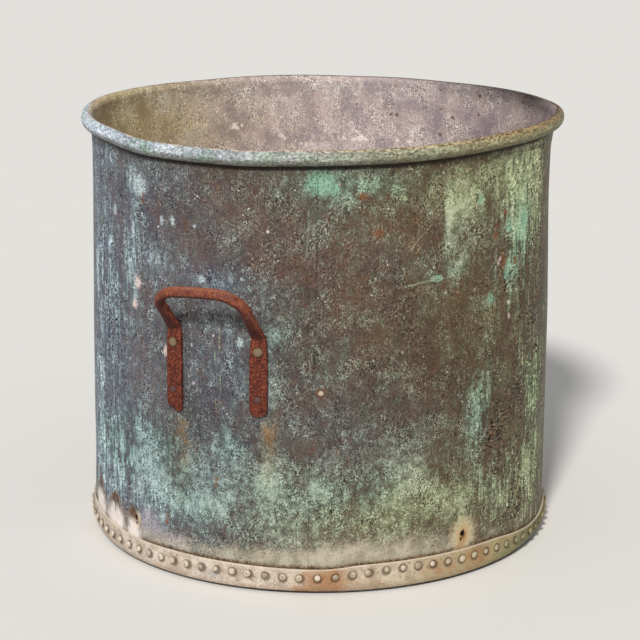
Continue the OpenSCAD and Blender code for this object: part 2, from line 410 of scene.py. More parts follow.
def makePatina():
    # bare metal under a thin dark film, then a crust that comes up in specks and patches
    given, wanted = newGroup("patina", {
        "Place": None, "Cover": 0.3, "Streak": 0.3, "Grain": 1.0,
        "Metal": (84, 66, 62), "Warm": (108, 80, 56), "Deep": (72, 80, 76),
        "Crust": (112, 138, 126), "Pale": (176, 196, 188), "Speck": (34, 30, 30),
        "Rust": (108, 68, 44), "Moss": (88, 98, 74)}, ("Color", "Mask", "Height", "Busy"))
    place, streaky = given["Place"], given["Streak"]
    # some parts are busy with specks and others lie smooth
    busy = stepped(cloudy(moved(place, shift=(6, 6, 1)), 30 * mm, 4.0, 0.68), 0.36, 0.64, 0.25, 1.25)
    grain = given["Grain"] * busy
    tall = moved(place, (1, 1, 0.11), (0.3, 0.1, 0))
    fine = mixed(streaky, cloudy(place, 3.6 * mm, 2.5, 0.7, 1.4),
                 cloudy(moved(place, (1, 1, 0.3), (1, 5, 2)), 4.6 * mm, 3.0, 0.75))
    salt = mixed(streaky, cloudy(moved(place, shift=(2, 3, 1)), 3.4 * mm, 2.0, 0.65, 1.2),
                 cloudy(moved(place, (1, 1, 0.4), (7, 4, 2)), 4.4 * mm, 3.0, 0.7))
    middle = cloudy(place, 12 * mm, 3.0, 0.65)
    film = cloudy(moved(place, (1, 1, 0.7), (4, 4, 4)), 34 * mm, 4.0, 0.62)
    patch = cloudy(place, 52 * mm, 4.0, 0.6, 0.3)
    cloud = cloudy(moved(place, shift=(9, 1, 5)), 120 * mm, 4.0, 0.6)
    run = (swung(cloudy(tall, 6 * mm, 2.0, 0.6), 3.0) + swung(cloudy(tall, 15 * mm, 3.0, 0.65), 1.9)
           + swung(cloudy(tall, 34 * mm, 3.0), 1.5))
    body = given["Cover"] + swung(patch, 1.2) + swung(middle, 1.3) + run * streaky
    mask = stepped(body + swung(fine, 2.7) * grain, 0.46, 0.94)

    metal = mixed(stepped(cloud + swung(middle, 0.5), 0.42, 0.60), given["Metal"], given["Warm"])
    metal = mixed(stepped(film, 0.50, 0.66, 0, 0.5), metal, given["Deep"])
    # small rusty and mossy patches
    blush = cloudy(moved(place, (1, 1, 0.8), (8, 2, 3)), 17 * mm, 4.0, 0.7)
    metal = mixed(stepped(blush, 0.56, 0.68, 0, 0.6), metal, given["Rust"])
    metal = mixed(stepped(blush, 0.44, 0.34, 0, 0.5), metal, given["Moss"])
    base = mixed(stepped(body, 0.0, 0.95, 0, 0.9), metal, given["Deep"])
    crust = mixed(stepped(body + swung(salt, 2.6), 0.5, 1.4), given["Crust"], given["Pale"])
    colour = mixed(mask * 0.92, base, crust)
    dark = stepped(salt, 0.57, 0.66) * maths("MULTIPLY", grain, 0.8, clamp=True)
    colour = mixed(dark, colour, given["Speck"])
    light = maths("MULTIPLY", stepped(salt, 0.40, 0.32), grain * stepped(body, 0.0, 0.6, 0.45, 0.8),
                  clamp=True)
    colour = mixed(light, colour, given["Pale"])
    # thin pale hairs where the crust has crept
    creep = cloudy(moved(place, (1, 1, 0.5), (5, 2, 8)), 9 * mm, 4.0, 0.75, 0.8)
    hair = stepped(maths("ABSOLUTE", creep - 0.5), 0.026, 0.006)
    hair = maths("MULTIPLY", hair, grain * stepped(body, -0.1, 0.5, 0.12, 0.5), clamp=True)
    colour = mixed(hair, colour, given["Pale"])
    tiny = mixed(streaky, cloudy(moved(place, shift=(3, 8, 6)), 2.3 * mm, 0.0),
                 cloudy(moved(place, (0.42, 0.42, 0.75), (3, 8, 6)), 2.4 * mm, 0.0))
    tiny = swung(tiny, 2.0) * maths("MULTIPLY_ADD", streaky, 1.7, 1.0)
    shade = maths("MULTIPLY_ADD", tiny, maths("MAXIMUM", grain, 0.5), 1.0) + swung(film, 0.8)
    plug(wanted["Color"], scaled(colour, shade))
    plug(wanted["Mask"], mask)
    plug(wanted["Busy"], busy)
    plug(wanted["Height"], mask * 0.45 + fine * 0.5 + middle * 0.5)
    return easel["tree"]


def makeScratch():
    # a straight mark from one place on the wall map to another
    given, wanted = newGroup("scratch", {"Map": None, "From": None, "To": None, "Width": 1.2 * mm}, ("Mark",))
    wobble = swung(cloudy(given["Map"], 9 * mm, 2.0), 2.4 * mm)
    here = vectors("ADD", given["Map"], addNode("CombineXYZ", {"X": wobble, "Y": wobble})[0])[0]
    reach = vectors("SUBTRACT", given["To"], given["From"])[0]
    arm = vectors("SUBTRACT", here, given["From"])[0]
    share = maths("DIVIDE", vectors("DOT_PRODUCT", arm, reach)["Value"],
                  vectors("DOT_PRODUCT", reach, reach)["Value"], clamp=True)
    away = vectors("DISTANCE", arm, scaled(reach, share))["Value"]
    thin = given["Width"] * (0.55 + cloudy(given["Map"], 5 * mm, 2.0))
    plug(wanted["Mark"], stepped(away / thin, 1.0, 0.35))
    return easel["tree"]


def makeSpot():
    # a mark with a ragged edge round a place on the wall map
    given, wanted = newGroup("spot",
                             {"Map": None, "Centre": None, "Radius": 8 * mm, "Tall": 1.0, "Ragged": 2.2},
                             ("Mark",))
    arm = vectors("SUBTRACT", given["Map"], given["Centre"])[0]
    squash = addNode("CombineXYZ", {"X": 1.0, "Y": 1.0 / given["Tall"]})[0]
    away = vectors("LENGTH", vectors("MULTIPLY", arm, squash)[0])["Value"] / given["Radius"]
    torn = swung(cloudy(given["Map"], 6 * mm, 4.0, 0.7), given["Ragged"])
    plug(wanted["Mark"], stepped(away + torn, 1.25, 0.45))
    return easel["tree"]


def makeDrip():
    # a run of lime with a scorched tip: narrow at its top, wide at its foot
    given, wanted = newGroup("drip", {"Map": None, "Top": None, "Tall": 50 * mm, "Wide": 8 * mm},
                             ("Pale", "Burnt", "Core"))
    arm = addNode("SeparateXYZ", {0: vectors("SUBTRACT", given["Map"], given["Top"])[0]})
    down = arm["Y"] * -1.0 / given["Tall"]
    ragged = swung(cloudy(moved(given["Map"], (1, 0.4, 1)), 9 * mm, 4.0, 0.65), 1.7)
    halfWidth = given["Wide"] * maths("POWER", maths("MAXIMUM", down, 0.001), 0.42)
    side = maths("ABSOLUTE", arm["X"]) / halfWidth + ragged
    pale = stepped(side, 1.25, 0.45) * stepped(down + ragged * 0.5, 0.20, 0.58)
    outer = maths("ABSOLUTE", arm["X"]) / (halfWidth + 3.5 * mm)
    burnt = stepped(outer + ragged, 1.5, 0.6) * (stepped(down, -0.2, 0.06) * stepped(down, 1.0, 0.4))
    plug(wanted["Pale"], pale)
    plug(wanted["Burnt"], burnt * (1.0 - pale))
    plug(wanted["Core"], stepped(maths("MULTIPLY_ADD", ragged, 0.45, outer), 0.95, 0.35))
    return easel["tree"]


patina = makePatina()
scratch = makeScratch()
spot = makeSpot()
drip = makeDrip()


def onMap(deg, height):
    # degrees from the front and a height in mm, as a place on the wall map
    return (math.radians(deg) * vessel["wallR"], height * mm, 0)


def scratchMark(flat, start, end, width):
    return useGroup(scratch, {
        "Map": flat, "From": onMap(*start), "To": onMap(*end), "Width": width * mm})["Mark"]


def spotMark(flat, deg, height, radius, tall, ragged=2.2):
    return useGroup(spot, {"Map": flat, "Centre": onMap(deg, height), "Radius": radius * mm, "Tall": tall,
                           "Ragged": ragged})["Mark"]


# marks on the outside, placed by (degrees from the front, height in mm)
wallMarks = {
    "gold": [
        ((25.7, 539), (22.7, 521), 1.2), ((22.7, 521), (20.5, 506), 1.3), ((23.3, 512), (21.7, 499), 1.2),
        ((36.6, 613), (29.4, 602), 1.5), ((47.2, 453), (44.8, 425), 1.7), ((-25, 288), (-24.7, 271), 1.0),
        ((3.8, 604), (3.4, 594), 1.8), ((-24, 390), (-24, 359), 1.3), ((46.2, 562), (45.6, 548), 1.4)],
    "pale": [
        ((18.4, 452), (24.4, 457), 1.6), ((24.4, 457), (26.9, 459), 2.6), ((26.1, 460), (28.5, 459), 5.0),
        ((27.9, 459), (35.2, 461), 1.4), ((6.3, 536), (4.5, 528), 1.2), ((4, 521), (4.8, 516), 1.3),
        ((-3, 567), (-3.4, 499), 0.9), ((-25.1, 357), (-24.9, 334), 1.3), ((-23.6, 326), (-23.7, 298), 1.2),
        ((35.3, 493), (35.4, 483), 3.0), ((-22.5, 545), (-19, 537), 0.9), ((-68.4, 518), (-68.5, 491), 3.4)],
    "dark": [
        ((37.1, 520), (43.7, 502), 1.3), ((47.3, 504), (52.9, 509), 1.1), ((-5.3, 110), (-5.3, 40), 0.9),
        ((35.1, 491), (34.4, 464), 0.9)],
}
# degrees, height, radius in mm, tallness
wallSpots = {
    "mint": [(-0.6, 607, 20, 1.0), (2.4, 596, 9, 1.1), (57.4, 522, 11, 1.9), (50.2, 518, 10, 1.0),
             (49.4, 454, 8, 1.9), (44, 415, 9, 1.0), (39.7, 565, 6, 1.4), (27.7, 460, 6, 0.8)],
    "frost": [(-40.2, 535, 4.2, 1.9), (-36.6, 537, 4.2, 1.9), (-47.6, 578, 15, 1.3), (-30.5, 534, 3, 1.0),
              (-28.5, 458, 6, 1.1), (-18.4, 464, 3, 1.0), (-18.8, 372, 6, 1.4), (-50.4, 512, 4, 4.2),
              (-59.1, 533, 7, 1.3)],
    "haze": [(-45.4, 70, 28, 0.9), (-41.9, 58, 30, 0.7), (-36.1, 55, 24, 0.6)],
    "white": [(-48.8, 435, 8, 1.3), (-50, 402, 6.5, 1.2), (-39.1, 343, 4, 2.2), (-30.8, 303, 2.6, 1.1),
              (-25.4, 378, 2.0, 1.0), (-31.3, 360, 1.8, 1.8), (-22, 265, 1.8, 1.0), (46.9, 472, 2.8, 1.3),
              (46.3, 466, 2.8, 1.0), (50.5, 403, 3.5, 1.0), (50.7, 382, 3.0, 1.3), (-12.3, 534, 2.4, 1.4)],
    "orange": [(66.1, 393, 10, 0.9), (-24.7, 165, 4, 0.8), (-24.7, 156, 3.4, 1.6), (53.1, 463, 7, 1.2),
               (45.2, 521, 6, 0.8), (45, 507, 6, 1.0), (48.3, 539, 6, 0.8), (48.4, 468, 7, 2.2),
               (-46.5, 563, 4, 2.2), (0.1, 303, 8, 1.0), (-38.9, 87, 4, 3.0), (12.7, 532, 8, 1.0),
               (9.1, 585, 9, 0.7)],
}
wallTints = {"gold": (182, 164, 126), "pale": (158, 176, 144), "dark": (44, 38, 32), "mint": (140, 188, 160),
             "white": (228, 208, 202), "frost": (200, 216, 220), "orange": (132, 76, 44),
             "haze": (170, 160, 168)}
wallDrips = [(-71.6, 95, 52, 36), (-60.2, 93, 52, 35), (-51.4, 86, 46, 21)]     # and how tall and wide
holeRuns = [(36.3, 68, 25, 26), (-50, 70, 11, 12)]      # stain's radius, and how far down the rust has run
innerPits = [(160.4, 594, 4.1), (158.8, 592, 3.3), (170.5, 608, 2.8), (132.3, 638, 4.1), (141.5, 596, 3.3),
             (145.7, 564, 3.3), (145.4, 609, 3.8), (132.5, 607, 3)]
# each metal's tone in the middle, on the blue side and on the olive side
outerTones = {
    "Metal": ((86, 70, 64), (84, 86, 98), (90, 74, 52)),
    "Warm": ((100, 76, 60), (98, 94, 102), (94, 76, 54)),
    "Deep": ((84, 84, 76), (90, 102, 116), (96, 94, 66)),
    "Crust": ((128, 138, 122), (136, 154, 166), (140, 148, 112)),
    "Pale": ((184, 194, 178), (200, 214, 222), (196, 202, 160)),
}


def makeOuterPatina():
    material = newMaterial("outerPatina")
    place, flat = objectPlace(), wallMap()
    blue, olive, teal = painted("blue"), painted("olive"), painted("teal")
    given = {"Place": place, "Cover": painted("verdigris") - painted("bare"), "Streak": painted("streak")}
    for name, (plain, left, right) in outerTones.items():
        given[name] = mixed(olive, mixed(blue, plain, left), right)
    given["Deep"] = mixed(teal, given["Deep"], (72, 84, 80))
    given["Crust"] = mixed(teal, given["Crust"], mixed(olive, (114, 150, 144), (120, 158, 122)))
    given["Pale"] = mixed(teal, given["Pale"], mixed(olive, (168, 202, 194), (170, 204, 162)))
    skin = useGroup(patina, given)
    colour = skin["Color"]
    patch = cloudy(place, 26 * mm, 4.0, 0.62)
    fleck = cloudy(place, 3 * mm, 2.0, 0.7)

    # dry white specks, most of them no wider than a pinhead
    for size, wide, share in ((8, 0.20, 0.72), (17, 0.11, 0.78)):
        cells = addNode("TexVoronoi", {"Vector": place, "Scale": 1 / (size * mm)})
        own = addNode("SeparateColor", {0: cells["Color"]})
        torn = cells["Distance"] + swung(fleck, wide * 2)
        specks = stepped(torn, wide, wide * 0.5) * stepped(own[0], share, share + 0.02)
        specks = maths("MULTIPLY", specks, skin["Busy"] * stepped(own[1], 0, 1, 0.3, 0.9), clamp=True)
        colour = mixed(specks, colour, mixed(olive, (206, 212, 210), (204, 200, 170)))

    for kind, marks in wallMarks.items():
        for start, end, width in marks:
            mark = scratchMark(flat, start, end, width)
            share = mark * stepped(fleck, 0.42, 0.62, 0.4 if kind == "dark" else 0.12, 0.9)
            colour = mixed(share, colour, wallTints[kind])
    for kind, places in wallSpots.items():
        for deg, height, radius, tall in places:
            mark = spotMark(flat, deg, height, radius, tall)
            share = mark * stepped(fleck, 0.38, 0.60, 0.6 if kind == "white" else 0.14, 0.95)
            colour = mixed(share, colour, wallTints[kind])

    # painted shade: the outside is darkened where this channel is painted
    colour = scaled(colour, 1.0 - painted("paintedShade"))
    rust = painted("rust") + (swung(patch, 1.0) + swung(fleck, 1.2))
    colour = mixed(stepped(rust, 0.25, 0.85, 0.0, 0.8), colour, mixed(patch, (96, 66, 40), (150, 112, 66)))
    lime = painted("lime") + (swung(patch, 1.0) + swung(fleck, 1.9))
    limeTone = mixed(stepped(patch, 0.36, 0.64), (168, 160, 138), (200, 190, 168))
    limeTone = mixed(stepped(fleck, 0.54, 0.68, 0, 0.6), limeTone, (104, 86, 66))
    colour = mixed(stepped(lime, 0.10, 1.0, 0.0, 0.8), colour, limeTone)

    # the edge of the flange holds a line of dirt and rust
    gap = painted("flangeGap") + swung(cloudy(place, 9 * mm, 3.0, 0.7), 9 * mm)
    colour = mixed(stepped(gap, 6.5 * mm, 0.5 * mm) * 0.9, colour,
                   mixed(stepped(fleck, 0.42, 0.66), (66, 44, 29), (148, 118, 84)))

    # painted shadow below the roll, with some grime: darkest just under it
    under = painted("rimGap") + swung(fleck, 2 * mm)
    colour = mixed(stepped(under, 30 * mm, 6 * mm, 0, 0.3), colour, (58, 48, 40))
    colour = mixed(stepped(under, 9.5 * mm, 4.5 * mm, 0, 0.85), colour, (34, 26, 21))

    # holes: lime and rust have run out of them
    for deg, height, wide, run in holeRuns:
        halo = spotMark(flat, deg, height, wide, 1.15, 1.7)
        colour = mixed(halo * 0.8, colour, (214, 200, 162))
        ring = spotMark(flat, deg, height, wide * 0.52, 1.25, 1.0)
        colour = mixed(ring * 0.6, colour, (184, 142, 86))
        trail = scratchMark(flat, (deg, height - 4), (deg - 1, height - run), 10)
        colour = mixed(trail * 0.5, colour, (168, 116, 66))
        core = spotMark(flat, deg, height, 5, 1.5, 1.2)
        colour = mixed(core * 0.75, colour, (74, 46, 26))
    for deg, height, tall, wide in wallDrips:
        run = useGroup(drip, {"Map": flat, "Top": onMap(deg, height), "Tall": tall * mm, "Wide": wide * mm})
        colour = mixed(run["Pale"] * 0.92, colour,
                       mixed(stepped(patch, 0.35, 0.65), (240, 226, 216), (252, 248, 246)))
        colour = mixed(run["Burnt"] * maths("MULTIPLY_ADD", run["Core"], 0.5, 0.42), colour,
                       mixed(run["Core"], mixed(fleck, (104, 76, 56), (168, 138, 106)),
                             mixed(fleck, (58, 38, 26), (118, 84, 58))))
    roughness = maths("MULTIPLY_ADD", skin["Mask"], 0.28, 0.5)
    plug(easel["surface"]["Metallic"], stepped(skin["Mask"], 0.5, 0.0, 0.0, 0.12))
    coat(colour, roughness, skin["Height"], 0.7 * mm, 0.55)
    return material


def makeInnerLime():
    material = newMaterial("innerLime")
    place = objectPlace()
    tan, lime = painted("olive"), painted("lime")
    metal = mixed(tan, (186, 168, 166), (178, 162, 122))
    warm = mixed(tan, (202, 182, 174), (204, 180, 134))
    crust = mixed(tan, (222, 206, 202), (224, 204, 168))
    crust = mixed(painted("blue"), crust, (188, 192, 180))
    pale = mixed(tan, (246, 236, 232), (250, 236, 200))
    skin = useGroup(patina, {
        "Place": place, "Cover": painted("verdigris"), "Streak": 0.06,
        "Metal": metal, "Warm": warm, "Deep": metal,
        "Crust": crust, "Pale": pale, "Grain": 0.95, "Rust": mixed(tan, (176, 142, 124), (176, 136, 84)),
        "Moss": mixed(tan, (150, 144, 158), (150, 134, 98)), "Speck": (96, 80, 74)})
    flake = cloudy(place, 12 * mm, 6.0, 0.8)
    blot = cloudy(moved(place, shift=(2, 2, 7)), 48 * mm, 5.0, 0.65)
    colour = mixed(stepped(blot, 0.44, 0.66, 0, 0.75), skin["Color"],
                   mixed(tan, (150, 136, 144), (152, 130, 90)))
    colour = mixed(stepped(blot, 0.46, 0.30, 0, 0.6), colour, mixed(tan, (214, 200, 194), (196, 190, 158)))
    gilt = painted("gilt") + swung(cloudy(place, 4.5 * mm, 3.0, 0.75), 2.6)
    colour = mixed(stepped(gilt, 0.5, 0.9, 0, 0.8), colour, (228, 206, 150))
    white = stepped(lime + swung(flake, 2.2), 0.58, 0.70)
    colour = mixed(white * 0.9, colour, (250, 236, 222))
    cells = addNode("TexVoronoi", {"Vector": place, "Scale": 1 / (30 * mm)})
    few = stepped(addNode("SeparateColor", {0: cells["Color"]})[0], 0.66, 0.70)
    torn = cells["Distance"] + swung(cloudy(place, 4 * mm, 3.0, 0.7), 0.6)
    pits = stepped(torn, 0.09, 0.03) * few
    for deg, height, radius in innerPits:
        pits = maths("MAXIMUM", pits, spotMark(wallMap(), deg, height, radius, 0.9, 4.2))
    colour = mixed(pits * 0.8, colour, mixed(stepped(flake, 0.35, 0.6), (74, 50, 52), (132, 84, 58)))
    # painted light and painted shade: the inside is brighter on the wall that the lamp leaves dark, and
    # darker at the right back and near the bottom
    colour = scaled(colour, 1.0 + painted("paintedLight") - painted("paintedShade"))
    # painted shade along the inside lip at the back of the rim
    lip = painted("lip") + swung(flake, 1.2)
    colour = mixed(stepped(lip, 0.2, 0.7, 0, 0.75), colour, mixed(tan, (84, 80, 76), (88, 78, 62)))
    coat(colour, maths("MULTIPLY_ADD", skin["Mask"], 0.2, 0.62), skin["Height"] - pits, 0.8 * mm, 0.6)
    return material


def makeRimPatina():
    material = newMaterial("rimPatina")
    place = objectPlace()
    blue, olive = painted("blue"), painted("olive")
    drift = cloudy(place, 30 * mm, 3.0, 0.6)
    metal = mixed(blue, (128, 122, 100), mixed(stepped(drift, 0.42, 0.58), (150, 157, 172), (130, 152, 150)))
    metal = mixed(olive, metal, (150, 132, 94))
    crust = mixed(blue, (158, 168, 140), mixed(stepped(drift, 0.42, 0.58), (192, 200, 216), (162, 192, 186)))
    crust = mixed(olive, crust, (172, 178, 132))
    pale = mixed(blue, (206, 206, 180), (236, 240, 246))
    pale = mixed(olive, pale, (230, 222, 176))
    # the wear runs along the roll, so its noise is stretched that way
    along = addNode("SeparateXYZ", {0: wallMap()})["X"]
    drawn = addNode("CombineXYZ", {"X": along * 0.55, "Y": painted("roll"), "Z": 0.0})[0]
    skin = useGroup(patina, {
        "Place": drawn, "Cover": painted("verdigris"), "Streak": 0.0, "Grain": 0.6,
        "Metal": metal, "Warm": metal,
        "Deep": mixed(0.5, metal, crust), "Rust": mixed(blue, (124, 104, 74), (136, 128, 132)),
        "Moss": mixed(blue, (98, 112, 76), (104, 128, 116)),
        "Crust": crust, "Pale": pale, "Speck": (46, 42, 38)})
    fleck = cloudy(drawn, 8 * mm, 4.0, 0.7)
    nick = cloudy(moved(drawn, (1, 0.6, 1), (2, 2, 2)), 2.5 * mm, 0.0)
    # the inner shoulder of the roll is limed or rusty like the inside, and the roll is darker on its lower
    # side
    turn = painted("roll") + swung(fleck, 13 * mm)
    colour = scaled(skin["Color"], 1.0 + swung(nick, 1.5))
    colour = mixed(stepped(turn, 0.5 * mm, -6 * mm, 0, 0.6), colour, (74, 66, 50))
    shoulder = maths("MULTIPLY_ADD", blue, 6.4 * mm, 8.8 * mm)
    shoulder = maths("MULTIPLY_ADD", olive, -2.4 * mm, shoulder)
    shoulder = stepped(turn - shoulder, -1.6 * mm, 1.8 * mm, 0, 0.85)
    spread = stepped(fleck + swung(nick, 0.9), 0.32, 0.66)
    tone = mixed(blue, mixed(spread, (112, 94, 66), (204, 192, 156)),
                 mixed(spread, (150, 126, 110), (240, 222, 208)))
    tone = mixed(olive, tone, mixed(spread, (96, 72, 46), (190, 156, 112)))
    colour = mixed(shoulder, colour, tone)
    # the far edge of the roll is a rusty brown away from the bleached side
    rear = stepped(turn, 14 * mm, 16.5 * mm, 0, 0.75) * stepped(blue, 0.5, 0.0)
    colour = mixed(rear, colour, mixed(nick, (60, 44, 32), (124, 96, 66)))
    # painted shade along the back of the rim
    colour = mixed(painted("backRimShade") * stepped(fleck, 0.3, 0.6, 0.95, 0.7), colour, (56, 50, 46))
    coat(colour, maths("MULTIPLY_ADD", skin["Mask"], 0.25, 0.48), skin["Height"] + fleck, 0.9 * mm, 0.6)
    return material


def makeLimedPan():
    material = newMaterial("limedPan")
    place = objectPlace()
    rust, green, blue = painted("rust"), painted("verdigris"), painted("blue")
    patch = cloudy(place, 20 * mm, 4.0, 0.62)
    fleck = cloudy(place, 3.2 * mm, 3.0, 0.7)
    cream = mixed(stepped(patch, 0.36, 0.66), (182, 164, 148), (216, 204, 190))
    cream = mixed(painted("olive"), cream, mixed(patch, (150, 134, 92), (196, 180, 134)))
    blot = cloudy(moved(place, shift=(1, 2, 3)), 34 * mm, 3.0)
    cream = mixed(stepped(blot, 0.52, 0.66, 0, 0.6), cream, (158, 134, 108))
    cream = mixed(stepped(blue + swung(patch, 1.6), 0.35, 0.8, 0, 0.7), cream, (152, 150, 156))
    for wear, gain, low, dark, light in ((rust, 0.8, 0.35, (122, 76, 42), (176, 128, 80)),
                                         (green, 0.9, 0.4, (92, 98, 74), (146, 150, 112))):
        patchy = wear + (swung(patch, 1.2) + swung(fleck, gain))
        cream = mixed(stepped(patchy, 0.25, 0.8, 0, 0.85), cream,
                      mixed(stepped(fleck, low, 0.6), dark, light))
    colour = mixed(stepped(fleck, 0.56, 0.68, 0, 0.75), cream, (96, 74, 56))
    # painted contact shadow: nearly black along the bottom of the pan, where it meets the floor
    colour = mixed(stepped(painted("foot") + swung(patch, 0.7), 0.5, 1.1, 0, 0.92), colour, (30, 22, 17))
    # painted shadow round each rivet, set a little below and to the right, with some grime: the rivets stand
    # at an even pitch along one wavy row
    pitch = math.radians(360 / baseRivetWork["number"]) * vessel["wallR"]
    offset = math.radians(baseRivetWork["phase"] - frontDeg) * vessel["wallR"]
    along = addNode("SeparateXYZ", {0: wallMap()})["X"]
    along = maths("WRAP", along - (offset + 1.2 * mm), pitch / 2, -pitch / 2)
    below = painted("rivetRow") + 1.6 * mm
    away = vectors("LENGTH", addNode("CombineXYZ", {"X": along, "Y": below})[0])["Value"]
    ring = away + swung(fleck, 7 * mm)
    colour = mixed(stepped(ring, 9.0 * mm, 5.6 * mm, 0, 0.72), colour, (80, 58, 42))
    colour = mixed(stepped(painted("edge") + swung(fleck, 0.8), 0.5, 0.9, 0, 0.5), colour, (216, 204, 184))
    coat(colour, stepped(patch, 0.3, 0.7, 0.62, 0.82), patch + fleck * 0.5, 0.9 * mm, 0.55)
    return material


def makeRivetCopper():
    material = newMaterial("rivetCopper")
    place = objectPlace()
    crown, tone, olive = painted("crown"), painted("tone"), painted("olive")
    fleck = cloudy(place, 2 * mm, 3.0, 0.65)
    pale = mixed(olive, (226, 212, 190), (160, 152, 112))
    middle = mixed(olive, (132, 114, 90), (90, 84, 56))
    colour = mixed(maths("ADD", tone, swung(fleck, 1.6), clamp=True), middle, pale)
    # painted shade: a dark ring round the rim of each head
    edge = stepped(crown + swung(fleck, 0.25), 0.16, 0.02)
    colour = mixed(edge * 0.6, colour, (72, 54, 40))
    struck = stepped(crown + swung(fleck, 0.3), 0.74, 0.9) * painted("struck")
    colour = mixed(struck, colour, (58, 50, 42))
    coat(colour, stepped(fleck, 0.3, 0.7, 0.42, 0.7), fleck - struck, 0.4 * mm, 0.5)
    return material


def makeRustyIron():
    material = newMaterial("rustyIron")
    place = objectPlace()
    high = addNode("SeparateXYZ", {0: place})["Z"]
    grain = cloudy(place, 2.4 * mm, 1.0, 0.6)
    scale = cloudy(place, 9 * mm, 4.0, 0.65)
    patch = cloudy(place, 45 * mm, 2.0)
    upper = mixed(stepped(scale, 0.36, 0.64), (104, 54, 46), (146, 84, 58))
    blush = cloudy(moved(place, shift=(1, 6, 2)), 14 * mm, 4.0, 0.7)
    upper = mixed(stepped(blush, 0.5, 0.64, 0, 0.6), upper, (122, 78, 74))
    lower = mixed(stepped(scale, 0.34, 0.66), (74, 34, 29), (112, 54, 38))
    colour = mixed(stepped(high + swung(patch, 60 * mm), 0.36, 0.43), lower, upper)
    pitted = stepped(high, 0.44, 0.36, 0.4, 0.44)
    colour = mixed(stepped(grain, 0.52, 0.66) * pitted, colour, (48, 25, 22))
    colour = mixed(stepped(grain, 0.46, 0.34) * pitted, colour, (164, 96, 70))
    colour = scaled(colour, 1.0 + swung(cloudy(moved(place, shift=(4, 4, 4)), 3 * mm, 0.0), 1.1))
    # painted shade and highlight: the grip's underside is painted nearly black and its top lighter, by which
    # way each point faces
    shadedBellyLitTop = painted("shadedBellyLitTop") + swung(scale, 0.6)
    colour = mixed(stepped(shadedBellyLitTop, 0.1, 0.85, 0, 0.85), colour, (54, 25, 23))
    colour = mixed(stepped(shadedBellyLitTop, -0.5, -0.95, 0, 0.35), colour, (188, 128, 100))
    coat(colour, stepped(grain, 0.3, 0.7, 0.78, 0.58), scale + grain * -0.8, 1.3 * mm, 0.8)
    return material


def makeIronRivet():
    # flattened iron rivets, worn to a purple grey
    material = newMaterial("ironRivet")
    fleck = cloudy(objectPlace(), 2 * mm, 3.0, 0.7)
    colour = mixed(stepped(fleck, 0.36, 0.62), (98, 58, 48), (86, 72, 72))
    colour = mixed(stepped(painted("crown"), 0.2, 0.03, 0, 0.8), colour, (52, 30, 26))
    coat(colour, stepped(fleck, 0.3, 0.7, 0.45, 0.7), fleck, 0.5 * mm, 0.5)
    return material


def makeWireIron():
    material = newMaterial("wireIron")
    fleck = cloudy(objectPlace(), 3 * mm, 3.0, 0.65)
    colour = mixed(stepped(fleck, 0.38, 0.64), (52, 34, 28), (96, 58, 38))
    coat(colour, stepped(fleck, 0.3, 0.7, 0.6, 0.85), fleck, 0.4 * mm, 0.5)
    return material


baseRivetWork = {"number": 90, "phase": 0.4, "headR": 5.2 * mm, "headH": 4.1 * mm, "shankR": 2.7 * mm,
                 "tailR": 4.7 * mm, "tailH": 2.2 * mm, "steps": 14}
outerPatina = makeOuterPatina()
innerLime = makeInnerLime()
rimPatina = makeRimPatina()
limedPan = makeLimedPan()
rivetCopper = makeRivetCopper()
rustyIron = makeRustyIron()
ironRivet = makeIronRivet()
wireIron = makeWireIron()
print("materials made")


def paintPoints(piece, channels):
    for name, values in channels.items():
        layer = piece.data.attributes.new(name, "FLOAT", "POINT")
        layer.data.foreach_set("value", np.ascontiguousarray(values, dtype=np.float32))


def readCounts(items, what):
    counts = np.empty(len(items), dtype=np.int32)
    items.foreach_get(what, counts)
    return counts


def mapWall(piece, deg, height):
    # the wall map: metres round the wall from the front, and the height
    corners = readCounts(piece.data.loops, "vertex_index")
    starts = readCounts(piece.data.polygons, "loop_start")
    first = np.repeat(deg[corners[starts]], readCounts(piece.data.polygons, "loop_total"))
    turned = np.radians(first + halfTurn(deg[corners] - first))
    layer = piece.data.uv_layers.new(name="wallMap")
    layer.data.foreach_set("uv", np.stack([turned * vessel["wallR"], height[corners]], 1).ravel())


# the wall: two sheets that lap at two seams, each with its half of the rolled rim
sheetWork = {
    "rows": 88,
    "turnDeg": 184.3,
    "underDeg": 4.3,         # how far a sheet reaches under its neighbour
    "joggle": 1.7 * mm,
    "proud": 0.35 * mm,
    "slantDeg": 1.4,         # the outer lap runs off plumb
    "endDeg": 14,            # the stretch at each end that the lap shifts
    "buttDeg": 0.03,
    "seamDeg": 200.4,
    "earlyDeg": 1,           # how far before its seam a sheet starts
    "neckZ": 0.632,
    "neckBand": (0.622, 0.636),
    "rolledZ": 0.638,
    "wavedZ": 0.635,
    "rollFrom": 200,         # degrees round the roll, from the neck to the end of its curl
    "rollTo": -112,
    "lipDeg": 128,           # where the inside ends on the roll, and how much higher at the back
    "lipTurn": 32,
    "smoothDeg": 42,
}


def sheetOutline():
    work = sheetWork

    def onRoll(deg):
        turn = math.radians(deg)
        return (vessel["rollR"] + vessel["curlWide"] * math.cos(turn),
                vessel["rollZ"] + vessel["curlR"] * math.sin(turn))

    points = [(wallMid, z) for z in np.linspace(vessel["footZ"], work["neckZ"], work["rows"])]
    lastR, lastZ = onRoll(work["rollFrom"])
    for t in (0.25, 0.5, 0.75):
        points.append((wallMid + (lastR - wallMid) * t ** 1.6, work["neckZ"] + (lastZ - work["neckZ"]) * t))
    return points + [onRoll(deg) for deg in np.linspace(work["rollFrom"], work["rollTo"], 21)]


